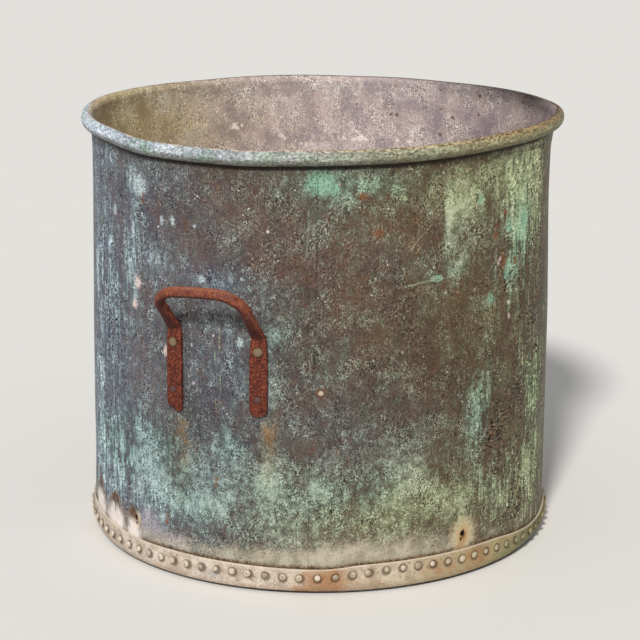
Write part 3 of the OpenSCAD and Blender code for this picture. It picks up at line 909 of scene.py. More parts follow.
def lapEdges(co, startDeg):
    work = sheetWork
    radius = np.hypot(co[:, 0], co[:, 1])
    along = (np.degrees(np.arctan2(co[:, 1], co[:, 0])) - startDeg + 1) % 360 - 1
    z = co[:, 2]
    rolled = ease(z, *work["neckBand"])
    # the end lies on top of the next sheet, and its edge slants
    slant = work["slantDeg"] * (1 - ease(z, 0.10, 0.55)) + work["buttDeg"] * rolled
    end = work["endDeg"]
    tail = work["turnDeg"] - end
    along = np.where(along > tail, tail + (along - tail) * (1 - slant / end), along)
    # the start dives under the last sheet, and its roll butts against the other
    pushed = end - (end - along) * (end - work["underDeg"] - work["buttDeg"]) / end
    along = np.where(along < end, along + rolled * (pushed - along), along)
    dives = 1 - ease(along, work["underDeg"] + 0.3, work["underDeg"] + 2.4)
    radius -= work["joggle"] * dives * (1 - rolled)
    radius += work["proud"] * ease(along, work["turnDeg"] - 5, work["turnDeg"] - 2.5) * (1 - rolled)
    turn = np.radians(along + startDeg)
    return np.stack([radius * np.cos(turn), radius * np.sin(turn), z], 1)


# broad wear: what a surface starts with, and strokes of (degrees, mm, half width, half height, strength)
outerWear = {
    "verdigris": (0.30, [
        (-35, 110, 10, 40, 0.22), (-73.1, 328, 14, 330, 0.25), (-50.4, 504, 2.4, 90, 0.3),
        (-49, 580, 4.5, 26, 0.35), (-50.7, 426, 5, 44, 0.4), (-42.9, 488, 3, 30, 0.25),
        (-62.6, 416, 5, 60, 0.2), (-60.7, 142, 16, 80, 0.45), (-45.2, 200, 9, 60, 0.35),
        (-27.5, 190, 8, 40, 0.25), (-21.5, 132, 22, 55, 0.35), (-21.6, 225, 5, 22, 0.35),
        (-24.8, 396, 12, 18, 0.12), (-9.9, 384, 3, 16, 0.5), (-11.4, 313, 2, 55, 0.45),
        (-11.8, 200, 4, 60, 0.3), (0, 152, 14, 70, 0.34), (21.5, 152, 14, 80, 0.30),
        (23.5, 176, 6, 26, 0.25), (30.3, 125, 8, 30, 0.35), (-26.9, 456, 10, 14, 0.2),
        (18, 597, 24, 34, 0.14), (36, 534, 16, 70, 0.12), (-0.3, 603, 7, 34, 0.3), (-2, 552, 3, 60, 0.2),
        (13, 597, 7, 22, 0.25), (7.9, 416, 3, 30, 0.1), (25.9, 468, 10, 12, 0.3), (36, 552, 5, 30, 0.15),
        (46, 592, 9, 45, 0.3), (58, 582, 12, 70, 0.5), (56.9, 514, 5, 60, 0.45), (49.5, 455, 3, 26, 0.35),
        (57.4, 522, 4, 26, 0.35), (50.2, 518, 3.4, 14, 0.3), (44, 415, 3.6, 16, 0.4), (66, 552, 7, 80, 0.3),
        (33.3, 476, 2.4, 16, 0.35), (35.3, 488, 1.6, 12, 0.4), (34, 552, 5, 34, 0.3),
        (-11.9, 413, 3, 14, 0.25), (51.6, 396, 4, 50, 0.25), (40.4, 250, 4, 60, 0.45),
        (46, 132, 8, 60, 0.42), (64.9, 221, 6, 90, 0.4), (62.6, 118, 12, 50, 0.45),
        (110, 396, 20, 160, 0.25), (150, 200, 25, 120, 0.35), (-140, 299, 26, 200, 0.25),
        (-110, 161, 20, 90, 0.35)]),
    "bare": (0.0, [
        (-30, 537, 12, 55, 0.12), (-12, 534, 12, 60, 0.12), (-2.4, 223, 4, 16, 0.6),
        (6, 450, 14, 40, 0.14), (19.9, 411, 16, 60, 0.22), (27.7, 338, 14, 60, 0.18),
        (24, 534, 14, 40, 0.12), (51.1, 210, 5, 60, 0.5), (58.9, 190, 3.5, 40, 0.45),
        (43.2, 190, 2, 40, 0.4), (49.4, 299, 4, 90, 0.25), (47.4, 472, 2.4, 26, 0.6),
        (45.9, 519, 3, 16, 0.4), (47.7, 434, 2.2, 22, 0.4), (-57.3, 472, 3, 20, 0.3),
        (-46.9, 421, 1.6, 12, 0.5), (-57, 554, 5, 28, 0.25), (-41, 544, 4, 30, 0.2),
        (40.8, 441, 5, 26, 0.2), (65.5, 396, 6, 70, 0.35), (-16.7, 250, 4, 30, 0.25),
        (120, 250, 12, 120, 0.25), (-100, 416, 12, 120, 0.25)]),
    "blue": (0.0, [
        (-77.1, 330, 48, 900, 1.1), (-29.4, 132, 24, 130, 0.15), (-21.8, 338, 9, 90, 0.45),
        (0, 240, 16, 60, 0.3), (-25.9, 459, 12, 24, 0.5), (180, 330, 50, 900, 0.35)]),
    "olive": (0.0, [
        (74.1, 330, 42, 900, 1.0), (24, 592, 34, 60, 0.58), (27.8, 396, 20, 90, 0.4),
        (23.5, 123, 24, 60, 0.5), (0, 93, 26, 60, 0.35), (-3.9, 200, 12, 60, 0.12),
        (-11.8, 190, 4, 70, 0.3), (-35.3, 190, 4, 60, 0.4), (130, 330, 40, 900, 0.5)]),
    # painted shade in broad patches
    "paintedShade": (0.0, [
        (-38, 190, 14, 42, 0.24), (-18, 245, 22, 42, 0.22), (-8, 400, 12, 90, 0.14),
        (-30, 330, 16, 90, 0.07), (33, 314, 18, 90, 0.05), (0, 330, 20, 900, 0.03),
        (-9.8, 160, 60, 50, 0.04), (31.6, 328, 22, 100, 0.12), (50, 240, 12, 60, 0.10),
        (58.9, 181, 20, 120, 0.06), (0, 330, 24, 900, 0.04), (67.5, 396, 7, 90, 0.2)]),
    "teal": (0.0, [
        (-35, 110, 12, 50, 0.3), (-60.8, 176, 14, 60, 0.6), (-41.3, 215, 9, 50, 0.5),
        (-21.6, 215, 5, 26, 0.6), (-25.4, 132, 18, 50, 0.3), (0, 152, 12, 40, 0.3),
        (11.8, 161, 6, 30, 0.3), (40.4, 250, 4.5, 60, 0.6), (47, 161, 6, 50, 0.35),
        (55.9, 504, 5, 70, 0.8), (51.7, 450, 6, 30, 0.4), (65, 250, 4, 90, 0.4), (0, 603, 9, 40, 0.7),
        (13, 597, 7, 20, 0.5), (-9.9, 384, 3, 16, 0.4), (45.8, 450, 5, 30, 0.6),
        (-54.6, 426, 8, 200, 0.3), (-19.8, 328, 7, 60, 0.3), (27.9, 468, 9, 14, 0.3),
        (120, 299, 40, 200, 0.3), (-120, 152, 40, 90, 0.5)]),
    "streak": (0.10, [
        (-71.2, 330, 24, 900, 0.6), (65.2, 330, 16, 900, 0.75), (47.8, 474, 6, 120, 0.3),
        (45.2, 200, 8, 120, 0.5), (180, 330, 60, 900, 0.5)]),
    "rust": (0.0, [
        (-34.2, 232, 2.4, 34, 0.55), (-32.9, 186, 2.2, 34, 0.3), (-12.6, 238, 2.8, 32, 0.5),
        (-11.6, 190, 2.4, 50, 0.35), (-9.9, 299, 0.9, 70, 0.35), (22.7, 328, 8, 50, 0.12),
        (140, 93, 5, 30, 0.5), (-120, 83, 4, 30, 0.5)]),
    "lime": (0.0, [
        (-76, 55, 20, 22, 0.6), (-46.8, 51, 14, 18, 0.45), (-23.4, 52, 22, 15, 0.48),
        (-1.9, 53, 18, 24, 0.72), (16.5, 62, 15, 24, 0.68), (32, 58, 14, 17, 0.50),
        (58.5, 51, 14, 12, 0.35), (130, 59, 30, 20, 0.5), (-130, 59, 30, 20, 0.5),
        (-50, 590, 4, 16, 0.25)]),
}
innerWear = {
    "verdigris": (0.42, [(180, 638, 90, 14, 0.2), (150, 553, 30, 40, 0.15)]),
    "blue": (0.0, [(180, 633, 100, 12, 0.75)]),
    "olive": (0.0, [(-112, 560, 42, 400, 1.0)]),
    # painted light on the left inside wall
    "paintedLight": (0.0, [(-98, 590, 18, 90, 0.75), (-120, 590, 14, 60, 0.12), (-172, 590, 24, 60, 0.05)]),
    # painted shade at the right back and all round near the bottom
    "paintedShade": (0.0, [
        (120, 590, 26, 120, 0.17), (126, 660, 24, 17, 0.72), (106, 650, 12, 26, 0.45),
        (0, 60, 360, 90, 0.5)]),
    "gilt": (0.0, [
        (-133, 587, 12, 30, 0.4), (-145, 585, 12, 24, 0.32), (-157, 595, 8, 20, 0.12),
        (-118, 585, 10, 40, 0.25)]),
    "lime": (0.05, [
        (-169, 551, 5, 10, 0.5), (-178, 543, 4, 10, 0.46), (174, 544, 3, 12, 0.4), (168, 549, 4, 9, 0.65),
        (155, 547, 5, 8, 0.65), (166, 600, 2, 10, 0.5), (165, 628, 1.5, 14, 0.4), (-155, 576, 3, 8, 0.5),
        (175, 569, 22, 22, 0.18), (-160, 580, 12, 30, 0.22), (180, 30, 180, 160, 0.35)]),
}
rimWear = {
    "verdigris": (0.45, [(-75, 650, 34, 60, 0.35)]),
    "blue": (0.0, [(-82, 650, 52, 60, 1.1), (-20, 650, 30, 60, 0.35)]),
    "olive": (0.0, [(64, 650, 36, 60, 0.9), (170, 650, 60, 60, 0.4)]),
    # painted shade along the back of the rim
    "backRimShade": (0.0, [(136, 650, 52, 60, 1.0), (-165, 650, 44, 60, 0.8), (-125, 650, 18, 60, 0.35)]),
}
greenPatch = {"place": (29, 540, 5, 46, 1.0), "plumbDeg": 28.6, "more": 0.5, "less": -0.2}

# holes eaten through the foot: (degrees from the front, height in mm, across, tall)
wornHoles = {
    "left_sheet": [(-50.1, 72.5, 6.0, 9.0), (-49.8, 64, 3.6, 4.2)],
    "right_sheet": [(36.1, 69.5, 8.0, 9.2), (35.7, 61.0, 3.8, 5.0)],
}
cutterWork = {"sides": 14, "radius": 0.5 * mm, "depth": 24 * mm}
holeBand = (0.05, 0.09)         # the heights that the holes lie between


def eatHoles(piece, holes):
    for number, (deg, height, across, tall) in enumerate(holes):
        selectNone()
        bpy.ops.mesh.primitive_cylinder_add(vertices=cutterWork["sides"], radius=cutterWork["radius"],
                                            depth=cutterWork["depth"])
        cutter = bpy.context.object
        for point in cutter.data.vertices:
            side = math.atan2(point.co.y, point.co.x)
            ragged = 1 + 0.16 * math.sin(3 * side + number) + 0.1 * math.sin(5 * side + 2 * number + 1)
            point.co.x *= tall * ragged
            point.co.y *= across * ragged
        place = Matrix.Translation(onRing(deg + frontDeg, vessel["wallR"], height * mm))
        turn = Matrix.Rotation(math.radians(deg + frontDeg), 4, "Z")
        cutter.matrix_world = place @ turn @ Matrix.Rotation(math.radians(90), 4, "Y")
        settle(cutter)
        cut = piece.modifiers.new("hole", "BOOLEAN")
        cut.object = cutter
        cut.solver = "EXACT"
        finishModifiers(piece)
        bpy.data.objects.remove(cutter)


def unwaved(co):
    # heights as they were before the rim got its waves
    lifted = ease(co[:, 2], handWork["waveFrom"], sheetWork["wavedZ"])
    return co[:, 2] - lifted * waveAt(handWork["rim"], fromFront(co)) * mm


def roundRoll(across, up):
    deg = np.degrees(np.arctan2(up, across))
    return np.where(deg < -90, deg + 360, deg)


def lipAt(deg):
    return sheetWork["lipDeg"] - sheetWork["lipTurn"] * ease(np.abs(deg), 70, 105)


def outwardness(co, facing):
    return (facing[:, 0] * co[:, 0] + facing[:, 1] * co[:, 1]) / np.hypot(co[:, 0], co[:, 1])


def wearSheet(piece, toLeft):
    co = readPoints(piece)
    deg, height, flat = fromFront(co), co[:, 2] / mm, unwaved(co)
    ringDeg = roundRoll(np.hypot(co[:, 0], co[:, 1]) - vessel["rollR"], flat - vessel["rollZ"])
    lip = lipAt(deg)
    rolled = (flat > sheetWork["rolledZ"]) & (ringDeg < lip)
    inner = (outwardness(co, readRows(piece.data.vertices, "normal")) < 0) & ~rolled
    channels = {}
    for name, (start, strokes) in outerWear.items():
        values = brushed(deg, height, strokes, start)
        for area, wear in ((inner, innerWear), (rolled, rimWear)):
            start, strokes = wear.get(name, (0.0, []))
            values = np.where(area, brushed(deg, height, strokes, start), values)
        channels[name] = values
    for name, wear in (("backRimShade", rimWear), ("gilt", innerWear), ("paintedLight", innerWear)):
        channels[name] = brushed(deg, height, wear[name][1])
    # painted shade on the inside lip, at the back of the rim
    onLip = np.exp(-((ringDeg - lip - 2) / 9) ** 2) * (flat > sheetWork["rolledZ"])
    channels["lip"] = onLip * channels["backRimShade"]
    channels["roll"] = np.radians(ringDeg) * vessel["curlR"]
    channels["rimGap"] = np.where(inner | rolled, 1.0, vessel["rollZ"] - vessel["curlR"] - 1 * mm - flat)
    channels["flangeGap"] = np.where(inner, 1.0, co[:, 2] - waveAt(handWork["flangeTop"], deg) * mm)
    # a greener part starts on a plumb line
    greener = np.where(deg > greenPatch["plumbDeg"], greenPatch["more"], greenPatch["less"])
    greener = brushed(deg, height, [greenPatch["place"]]) * greener
    channels["verdigris"] = channels["verdigris"] + np.where(inner | rolled, 0, greener)
    paintPoints(piece, channels)
    turned = np.where(deg > 90, deg - 360, deg) if toLeft else np.where(deg < -90, deg + 360, deg)
    mapWall(piece, turned, co[:, 2])


def coatSheet(piece):
    # slots: outside, inside, roll, and dark iron for the roll's hidden side; the holes' edges get the dark
    # iron too, as painted shade
    faces = piece.data.polygons
    middle = readRows(faces, "center")
    out = outwardness(middle, readRows(faces, "normal"))
    far, high = np.hypot(middle[:, 0], middle[:, 1]), unwaved(middle)
    across = (far - vessel["rollR"]) * (vessel["curlR"] / vessel["curlWide"])
    up = high - vessel["rollZ"]
    slots = np.where(out > 0, 0, 1)
    # painted shade: the holes' lit edges are given the dark iron
    bored = (np.abs(out) < 0.6) & (middle[:, 2] > holeBand[0]) & (middle[:, 2] < holeBand[1])
    slots = np.where(bored, 3, slots)
    above = high > sheetWork["rolledZ"] + 0.5 * mm
    rolled = above & (roundRoll(across, up) < lipAt(fromFront(middle)))
    slots = np.where(rolled, 2, slots)
    slots = np.where(rolled & (far < vessel["wallR"] + 1.6 * mm) & (out > 0.6), 0, slots)
    slots = np.where(above & (np.hypot(across, up) < vessel["curlR"]), 3, slots)
    for material in (outerPatina, innerLime, rimPatina, wireIron):
        piece.data.materials.append(material)
    faces.foreach_set("material_index", slots.astype(np.int32))


def makeSheet(name, startDeg, node):
    piece = spun(name, sheetOutline(), round(sheetWork["turnDeg"]), sheetWork["turnDeg"], startDeg)
    co = dentWall(lapEdges(readPoints(piece), startDeg), handWork["dent"])
    writePoints(piece, waveRim(co))
    faceOut(piece, len(piece.data.polygons) // 3)
    thicken(piece, vessel["wallT"], True)
    finishModifiers(piece)
    eatHoles(piece, wornHoles[node])
    wearSheet(piece, node == "left_sheet")
    coatSheet(piece)
    leanOver(piece)
    handOver(piece, node, sheetWork["smoothDeg"])
    return piece


leftSheet = makeSheet("leftSheet", sheetWork["seamDeg"] - 180 - sheetWork["earlyDeg"], "left_sheet")
rightSheet = makeSheet("rightSheet", sheetWork["seamDeg"] - sheetWork["earlyDeg"], "right_sheet")
print("wall sheets rolled:", len(leftSheet.data.polygons) + len(rightSheet.data.polygons), "faces")

wireWork = {"points": 15, "around": 180}

# the wire inside the roll follows the same waves
wireR -= vessel["curlR"] - vessel["curlWide"]
wireOutline = [(vessel["rollR"] + wireR * math.cos(t), vessel["rollZ"] + wireR * math.sin(t))
               for t in np.linspace(0, 2 * math.pi, wireWork["points"])]
rimWire = spun("rimWire", wireOutline, wireWork["around"])
writePoints(rimWire, waveRim(readPoints(rimWire)))
leanOver(rimWire)
rimWire.data.materials.append(wireIron)
handOver(rimWire, "rim_wire")

panWork = {"floorRings": 9, "kneeRings": 8, "flangeRings": 6, "around": 270, "soften": 0.8 * mm,
           "edgeDeg": 60, "smoothDeg": 50}
panWear = {
    "rust": (0.0, [
        (2, 25, 8, 30, 0.8), (-24, 12, 10, 9, 0.25), (30, 26, 8, 30, 0.55), (42, 30, 6, 30, 0.6),
        (-8, 6, 14, 8, 0.3), (-41, 14, 5, 10, 0.35), (-13, 34, 4, 8, 0.3), (14, 12, 5, 8, 0.35),
        (120, 20, 14, 30, 0.5), (-130, 20, 12, 30, 0.5)]),
    "verdigris": (0.0, [
        (66, 20, 14, 40, 0.75), (50, 14, 10, 20, 0.35), (18, 8, 6, 8, 0.3), (150, 20, 24, 40, 0.3)]),
    "blue": (0.0, [(-26, 22, 6, 10, 0.6), (-56, 20, 14, 20, 0.35), (-78, 30, 10, 30, 0.3)]),
    "olive": (0.0, [(60, 25, 44, 60, 1.0), (150, 25, 40, 60, 0.6)]),
    # the foot is painted contact shadow along the floor
    "foot": (0.0, [(0, 0, 9000, 6.5, 1.5)]),
}


def panOutline():
    half = vessel["panT"] / 2
    knuckle = vessel["knuckleR"]
    kneeR, kneeX = knuckle - half, panBox[1].x - knuckle
    points = [(kneeX * step / panWork["floorRings"], half) for step in range(panWork["floorRings"])]
    for deg in np.linspace(-90, 0, panWork["kneeRings"]):
        turn = math.radians(deg)
        points.append((kneeX + kneeR * math.cos(turn), knuckle + kneeR * math.sin(turn)))
    for step in range(1, panWork["flangeRings"] + 1):
        rise = (panBox[1].z - knuckle) * step / panWork["flangeRings"]
        points.append((panBox[1].x - half, knuckle + rise))
    return points


basePan = spun("basePan", panOutline(), panWork["around"])
co = readPoints(basePan)
share = np.clip((co[:, 2] - vessel["knuckleR"]) / (panBox[1].z - vessel["knuckleR"]), 0, 1)
wavyTop = waveAt(handWork["flangeTop"], fromFront(co)) * mm
co[:, 2] = np.where(share > 0, vessel["knuckleR"] + share * (wavyTop - vessel["knuckleR"]), co[:, 2])
writePoints(basePan, co)
faceOut(basePan, -1)
thicken(basePan, vessel["panT"])
soften = basePan.modifiers.new("soften", "BEVEL")
soften.width = panWork["soften"]
soften.segments = 2
soften.limit_method = "ANGLE"
soften.angle_limit = math.radians(panWork["edgeDeg"])
finishModifiers(basePan)
co = readPoints(basePan)
deg, height = fromFront(co), co[:, 2] / mm
channels = {name: brushed(deg, height, strokes, start) for name, (start, strokes) in panWear.items()}
wavyTop = waveAt(handWork["flangeTop"], deg)
channels["edge"] = ease(height, wavyTop - 3, wavyTop - 0.5)
channels["rivetRow"] = co[:, 2] - waveAt(handWork["rivets"], deg) * mm
paintPoints(basePan, channels)
mapWall(basePan, deg, co[:, 2])
basePan.data.materials.append(limedPan)
leanOver(basePan)
handOver(basePan, "base_pan", panWork["smoothDeg"])
print("base pan beaten:", len(basePan.data.polygons), "faces")


def rivetOutline(work, grip):
    # along +Z: the head stands on z = 0 and the shank runs down through the work
    headR, headH, shankR, tailR, tailH = (work[key] for key in ("headR", "headH", "shankR", "tailR", "tailH"))
    flat = work.get("flat", 0.0)
    points = [(0, headH)]
    for step in range(1, 5):
        turn = math.radians(90 - 90 * step / 5)
        width = math.cos(turn)
        points.append((headR * width, headH * (math.sin(turn) * (1 - flat) + flat * (1 - width ** 6))))
    points += [(headR, 0), (headR * 0.97, -0.2 * mm), (shankR, -0.2 * mm), (shankR, -grip), (tailR, -grip)]
    points += [(tailR * 0.8, -grip - tailH * 0.6), (tailR * 0.4, -grip - tailH * 0.92), (0, -grip - tailH)]
    return points


def placeRivet(model, deg, radius, height, tilt=0.0, swell=1.0, tones=(0.25, 0.85), mossy=0.0):
    # a copy with its own mesh, turned outwards at its place on the wall
    copied = model.copy()
    copied.data = model.data.copy()
    bpy.context.scene.collection.objects.link(copied)
    turn = Matrix.Rotation(math.radians(deg), 4, "Z") @ Matrix.Rotation(math.radians(90 + tilt), 4, "Y")
    ownTurn = Matrix.Rotation(dice.uniform(0, 6.28), 4, "Z")
    ownTurn = ownTurn @ Matrix.Diagonal((swell, swell * dice.uniform(0.88, 1.08), 1, 1))
    co = readPoints(copied)
    across, head = np.hypot(co[:, 0], co[:, 1]), co[:, 2] > -0.1 * mm
    plain = np.ones(len(co))
    paintPoints(copied, {
        "crown": np.where(head, 1 - across / across[head].max(), 0), "tone": plain * dice.uniform(*tones),
        "struck": plain * (dice.random() < 0.35),
        "olive": plain * max(mossy, float(ease(halfTurn(deg - frontDeg), 20, 62)))})
    copied.data.transform(Matrix.Translation(onRing(deg, radius, height)) @ turn @ ownTurn)
    return copied


rivetSmoothDeg = 38


def joinRivets(rivets, name, node, material):
    for rivet in rivets:
        rivet.data.materials.append(material)
    onlySelect(rivets[0])
    for other in rivets[1:]:
        other.select_set(True)
    bpy.ops.object.join()
    piece = bpy.context.object
    settle(piece, name)
    leanOver(piece)
    handOver(piece, node, rivetSmoothDeg)


gripBase = vessel["panT"] + vessel["wallT"] + 3 * vessel["slack"]
model = spun("rivetModel", rivetOutline(baseRivetWork, gripBase), baseRivetWork["steps"])
rivets = []
for number in range(baseRivetWork["number"]):
    deg = baseRivetWork["phase"] + number * 360 / baseRivetWork["number"] + dice.uniform(-0.35, 0.35)
    height = float(waveAt(handWork["rivets"], deg - frontDeg)) * mm + dice.uniform(-0.5, 0.5) * mm
    rivets.append(placeRivet(model, deg, panBox[1].x + vessel["slack"], height, dice.uniform(-9, 9),
                             dice.uniform(0.8, 1.08)))
bpy.data.objects.remove(model)
joinRivets(rivets, "baseRivets", "base_rivets", rivetCopper)
print("base rivets set:", baseRivetWork["number"])


handleWork = {
    "legDeg": math.degrees(math.asin(66.5 / 356.3)),
    "legT": 7 * mm,
    "legW": 27 * mm,
    "shoulderW": 23.5 * mm,
    "footZ": 0.263,
    "bendZ": 0.377,
    "bendR": 16 * mm,
    "leanDeg": 42.4,
    "limb": 51.2 * mm,
    "cornerR": 35 * mm,
    "barR": 8.25 * mm,
    "forge": 50 * mm,        # flat leg to round bar
    "square": 0.62,          # how square the flat leg is
    "footRise": 30 * mm,     # the part of the foot that its own shape reaches
    "footThin": 14 * mm,
    "halfGrip": 68 * mm,
    "sides": 20,
    "legSteps": 10,
    "bendSteps": 5,
    "barSteps": 7,
    "cornerSteps": 9,
    "footSteps": (1.5 * mm, 2.5 * mm, 3.5 * mm, 4.5 * mm),
    "scale": 1.1 * mm,
    "scaleSize": 0.012,
    "scaleLevel": 0.62,
}


def drawHandle():
    # a bar of round rings that follows the handle from one foot to the other
    work = handleWork
    start = onRing(-work["legDeg"], vessel["wallR"] + vessel["slack"] + work["legT"] / 2, work["footZ"])
    selectNone()
    bpy.ops.mesh.primitive_circle_add(vertices=work["sides"], radius=work["barR"], fill_type="NGON",
                                      location=start)
    piece = bpy.context.object
    stations = [start.copy()]
    bpy.ops.object.mode_set(mode="EDIT")
    bpy.ops.mesh.select_all(action="SELECT")

    def pull(way, length, steps):
        for _ in range(steps):
            bpy.ops.mesh.extrude_region_move(TRANSFORM_OT_translate={"value": way * length / steps})
            stations.append(stations[-1] + way * length / steps)

    def turn(centre, axis, deg, steps):
        for _ in range(steps):
            bpy.ops.mesh.spin(steps=1, angle=-math.radians(deg / steps), center=centre, axis=axis)
            arm = stations[-1] - centre
            stations.append(centre + Matrix.Rotation(math.radians(deg / steps), 3, axis) @ arm)

    up, out, across = Vector((0, 0, 1)), Vector((1, 0, 0)), Vector((0, 1, 0))
    lean = math.radians(work["leanDeg"])
    rise = Vector((math.sin(lean), 0, math.cos(lean)))
    gripOut = Vector((math.cos(lean), 0, -math.sin(lean)))
    leg = work["bendZ"] - work["footZ"] - sum(work["footSteps"])
    for step in work["footSteps"]:
        pull(up, step, 1)
    pull(up, leg, work["legSteps"])
    turn(stations[-1] + out * work["bendR"], across, work["leanDeg"], work["bendSteps"])
    pull(rise, work["limb"], work["barSteps"])
    turn(stations[-1] + across * work["cornerR"], gripOut, -90, work["cornerSteps"])
    pull(across, -2 * stations[-1].y, work["barSteps"])
    turn(stations[-1] - rise * work["cornerR"], gripOut, -90, work["cornerSteps"])
    pull(-rise, work["limb"], work["barSteps"])
    turn(stations[-1] + gripOut * work["bendR"], across, -work["leanDeg"], work["bendSteps"])
    pull(-up, leg, work["legSteps"])
    for step in reversed(work["footSteps"]):
        pull(-up, step, 1)
    bpy.ops.mesh.select_all(action="SELECT")
    bpy.ops.mesh.normals_make_consistent(inside=False)
    bpy.ops.object.mode_set(mode="OBJECT")
    return piece, stations


def hammered(place, centre, side, foot):
    # one point of a ring, flattened towards the legs
    work = handleWork
    flat = 1 - float(ease(centre.z, work["bendZ"] - 14 * mm, work["bendZ"] + work["forge"]))
    if flat <= 0:
        return place
    # legs face out from the wall, and the grip leans in one plane
    straight = float(1 - ease(centre.z, work["bendZ"] - 20 * mm, work["bendZ"] + 20 * mm))
    turned = side * math.radians(work["legDeg"]) * straight
    tangent = Vector((-math.sin(turned), math.cos(turned), 0))
    lean = math.radians(work["leanDeg"])
    lean *= min(1, max(0, (centre.z - work["bendZ"]) / (work["bendR"] * math.sin(lean))))
    face = Vector((math.cos(turned) * math.cos(lean), math.sin(turned), -math.sin(lean)))
    spot = Vector(place) - centre
    power = 1 - work["square"] * flat
    a, b = (max(-1.0, min(1.0, spot.dot(way) / work["barR"])) for way in (tangent, face))
    a, b = math.copysign(abs(a) ** power, a), math.copysign(abs(b) ** power, b)
    shoulder = 1 - min(1.0, abs(centre.z - work["bendZ"] - 6 * mm) / 30 / mm)
    fullW = work["legW"] + (work["shoulderW"] - work["legW"]) * max(0, shoulder)
    halfW = work["barR"] * (1 - flat) + fullW / 2 * flat
    halfT = work["barR"] * (1 - flat) + work["legT"] / 2 * flat
    above = centre.z - work["footZ"]
    if above < foot["round"]:
        halfW *= math.sqrt(max(0.12, 1 - (1 - above / foot["round"]) ** 2))
    low = 1 - min(1.0, above / work["footRise"])
    halfT *= 1 - 0.25 * (1 - min(1.0, above / work["footThin"]))
    shaped = centre + tangent * a * halfW + face * b * halfT
    if above < work["footThin"]:
        # the thin foot stays against the wall
        shaped += Vector((math.cos(turned), math.sin(turned), 0)) * (halfT - work["legT"] / 2)
    return shaped + Vector((0, 0, (foot["askew"] * a + foot["lift"]) * low))


def makeHandle(name, node, sideDeg, bow, tip, feet):
    piece, stations = drawHandle()
    settle(piece, name)
    co = readPoints(piece)
    nearest = np.argmin(((co[:, None, :] - np.array(stations)[None]) ** 2).sum(2), axis=1)
    for index, which in enumerate(nearest):
        end = int(which >= len(stations) // 2)
        co[index] = hammered(co[index], stations[which], (-1, 1)[end], feet[end])
    # the grip bows up a little and one end stands higher
    along = co[:, 1] / handleWork["halfGrip"]
    co[:, 2] += ease(co[:, 2], 0.400, 0.450) * (bow * (1 - along ** 2) + tip * along)
    writePoints(piece, co)

    smooth = piece.modifiers.new("smooth", "SUBSURF")
    smooth.levels = 2
    smooth.render_levels = 2
    scaly = bpy.data.textures.new(name + "Scale", "CLOUDS")
    scaly.noise_scale = handleWork["scaleSize"]
    scaly.noise_depth = 2
    rough = piece.modifiers.new("scale", "DISPLACE")
    rough.texture = scaly
    rough.texture_coords = "LOCAL"
    rough.strength = handleWork["scale"]
    rough.mid_level = handleWork["scaleLevel"]
    finishModifiers(piece)
    # which way each point faces, for the painted shade under the grip and the painted highlight on top
    paintPoints(piece, {"shadedBellyLitTop": -readRows(piece.data.vertices, "normal")[:, 2]})
    piece.data.transform(Matrix.Rotation(math.radians(sideDeg), 4, "Z"))
    leanOver(piece)
    piece.data.materials.append(rustyIron)
    handOver(piece, node)
    return piece


askewFoot = {"round": 4 * mm, "askew": -3.4 * mm, "lift": -2.6 * mm}
roundFoot = {"round": 12 * mm, "askew": 0.6 * mm, "lift": 2.5 * mm}
leftHandle = makeHandle("leftHandle", "left_handle", 180, 2.8 * mm, 3 * mm, (askewFoot, roundFoot))
makeHandle("rightHandle", "right_handle", 0, 2.2 * mm, -1.5 * mm, (roundFoot, roundFoot))
print("handles forged:", len(leftHandle.data.polygons), "faces each")

handleRivetWork = {
    "upper": {"z": 0.362, "headR": 7.5 * mm, "headH": 4.0 * mm, "flat": 0.1},
    "lower": {"z": 0.292, "headR": 5.6 * mm, "headH": 1.8 * mm, "flat": 0.5},
    "both": {"shankR": 4 * mm, "tailR": 7 * mm, "tailH": 3 * mm},
    "steps": 20,
}
roveWork = {"boreR": 4.15 * mm, "outerR": 11 * mm, "thick": 1.5 * mm, "soft": 0.4 * mm, "steps": 28}
repairWork = {"fromFront": 0.1, "z": 0.303, "headR": 4.4 * mm, "headH": 3.2 * mm, "shankR": 2.75 * mm,
              "tailR": 4.75 * mm, "tailH": 2.2 * mm, "steps": 18}
sides = (("left", 180), ("right", 0))
gripHandle = handleWork["legT"] + vessel["wallT"] + roveWork["thick"] + 4 * vessel["slack"]
headAt = vessel["wallR"] + 2 * vessel["slack"] + handleWork["legT"]
for level, slot, material in (("upper", "rivet_copper", rivetCopper), ("lower", "rusty_iron", ironRivet)):
    work = {**handleRivetWork["both"], **handleRivetWork[level]}
    model = spun("handleRivetModel", rivetOutline(work, gripHandle), handleRivetWork["steps"])
    for side, sideDeg in sides:
        pair = [placeRivet(model, sideDeg + turn * handleWork["legDeg"], headAt, work["z"],
                           dice.uniform(-2, 2), dice.uniform(0.94, 1.03), (-0.5, -0.1), 0.3)
                for turn in (-1, 1)]
        joinRivets(pair, side + level.capitalize() + "Rivets", f"{side}_{level}_rivets", material)
    bpy.data.objects.remove(model)

bore, edge, thick, soft = (roveWork[key] for key in ("boreR", "outerR", "thick", "soft"))
roveOutline = [(bore, 0), (edge - soft, 0), (edge, soft), (edge, thick - soft), (edge - soft, thick),
               (bore, thick), (bore, 0)]
model = spun("roveModel", roveOutline, roveWork["steps"])
roveAt = vessel["wallR"] - vessel["wallT"] - vessel["slack"] - thick
for side, sideDeg in sides:
    four = [placeRivet(model, sideDeg + turn * handleWork["legDeg"], roveAt, handleRivetWork[level]["z"])
            for turn in (-1, 1) for level in ("upper", "lower")]
    joinRivets(four, side + "Roves", side + "_roves", rivetCopper)
bpy.data.objects.remove(model)

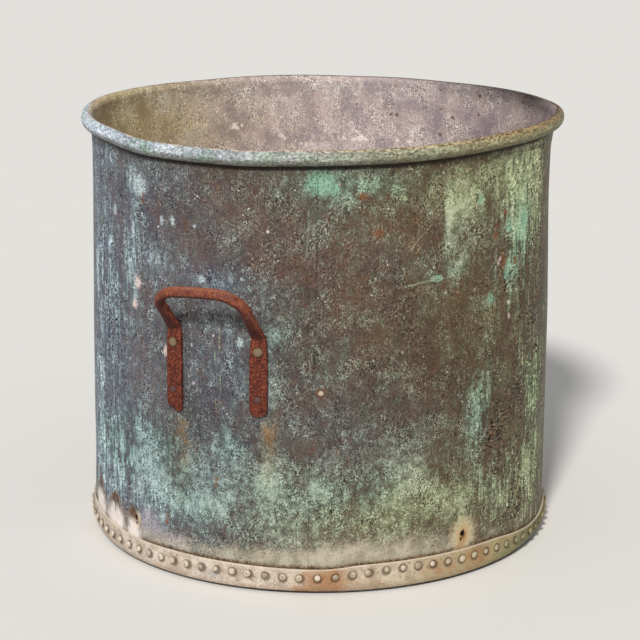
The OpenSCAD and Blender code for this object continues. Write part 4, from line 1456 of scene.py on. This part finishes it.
gripRepair = vessel["wallT"] + 2 * vessel["slack"]
model = spun("repairModel", rivetOutline(repairWork, gripRepair), repairWork["steps"])
repairDeg = frontDeg + repairWork["fromFront"]
repair = placeRivet(model, repairDeg, vessel["wallR"] + vessel["slack"], repairWork["z"])
joinRivets([repair], "repairRivet", "repair_rivet", rivetCopper)
bpy.data.objects.remove(model)
print("handle rivets and roves set")


camera = {"away": 3.106, "aside": -0.0043, "high": 1.130, "tilt": 0.2069, "lens": 114.19, "shift": -0.1562}
light = {"energy": 2.8, "softDeg": 7, "tint": (1.0, 0.985, 0.96), "front": 0.72, "left": 0.16, "high": 0.60}
sky = {"tint": (0.97, 0.98, 1.0, 1), "strength": 0.36}
up, outward = Vector((0, 0, 1)), onRing(frontDeg, 1, 0)


def aim(name, item, way):
    placed = bpy.data.objects.new(name, item)
    bpy.context.scene.collection.objects.link(placed)
    placed.rotation_euler = way.to_track_quat("-Z", "Y").to_euler()
    return placed


shot = bpy.data.cameras.new("shot")
shot.lens = camera["lens"]
shot.sensor_width = 36
shot.shift_y = camera["shift"]
shot.clip_end = 60
shotObject = aim("shot", shot, -outward * math.cos(camera["tilt"]) - up * math.sin(camera["tilt"]))
shotObject.location = outward * camera["away"] + rightward * camera["aside"] + up * camera["high"]
bpy.context.scene.camera = shotObject

selectNone()
bpy.ops.mesh.primitive_plane_add(size=60)
floor = bpy.context.object
floor.name = "floor"
floor.data.materials.append(newMaterial("paleFloor"))
plug(easel["surface"]["Base Color"], (238, 236, 232))
plug(easel["surface"]["Roughness"], 0.9)

lamp = bpy.data.lights.new("key", "SUN")
lamp.energy = light["energy"]
lamp.angle = math.radians(light["softDeg"])
lamp.color = light["tint"]
aim("key", lamp, -(outward * light["front"] - rightward * light["left"] + up * light["high"]))

world = bpy.data.worlds.new("studio")
bpy.context.scene.world = world
world.use_nodes = True
dome = world.node_tree.nodes["Background"].inputs
dome["Color"].default_value = sky["tint"]
dome["Strength"].default_value = sky["strength"]
bpy.context.scene.view_settings.view_transform = "Standard"
print("stage lit")
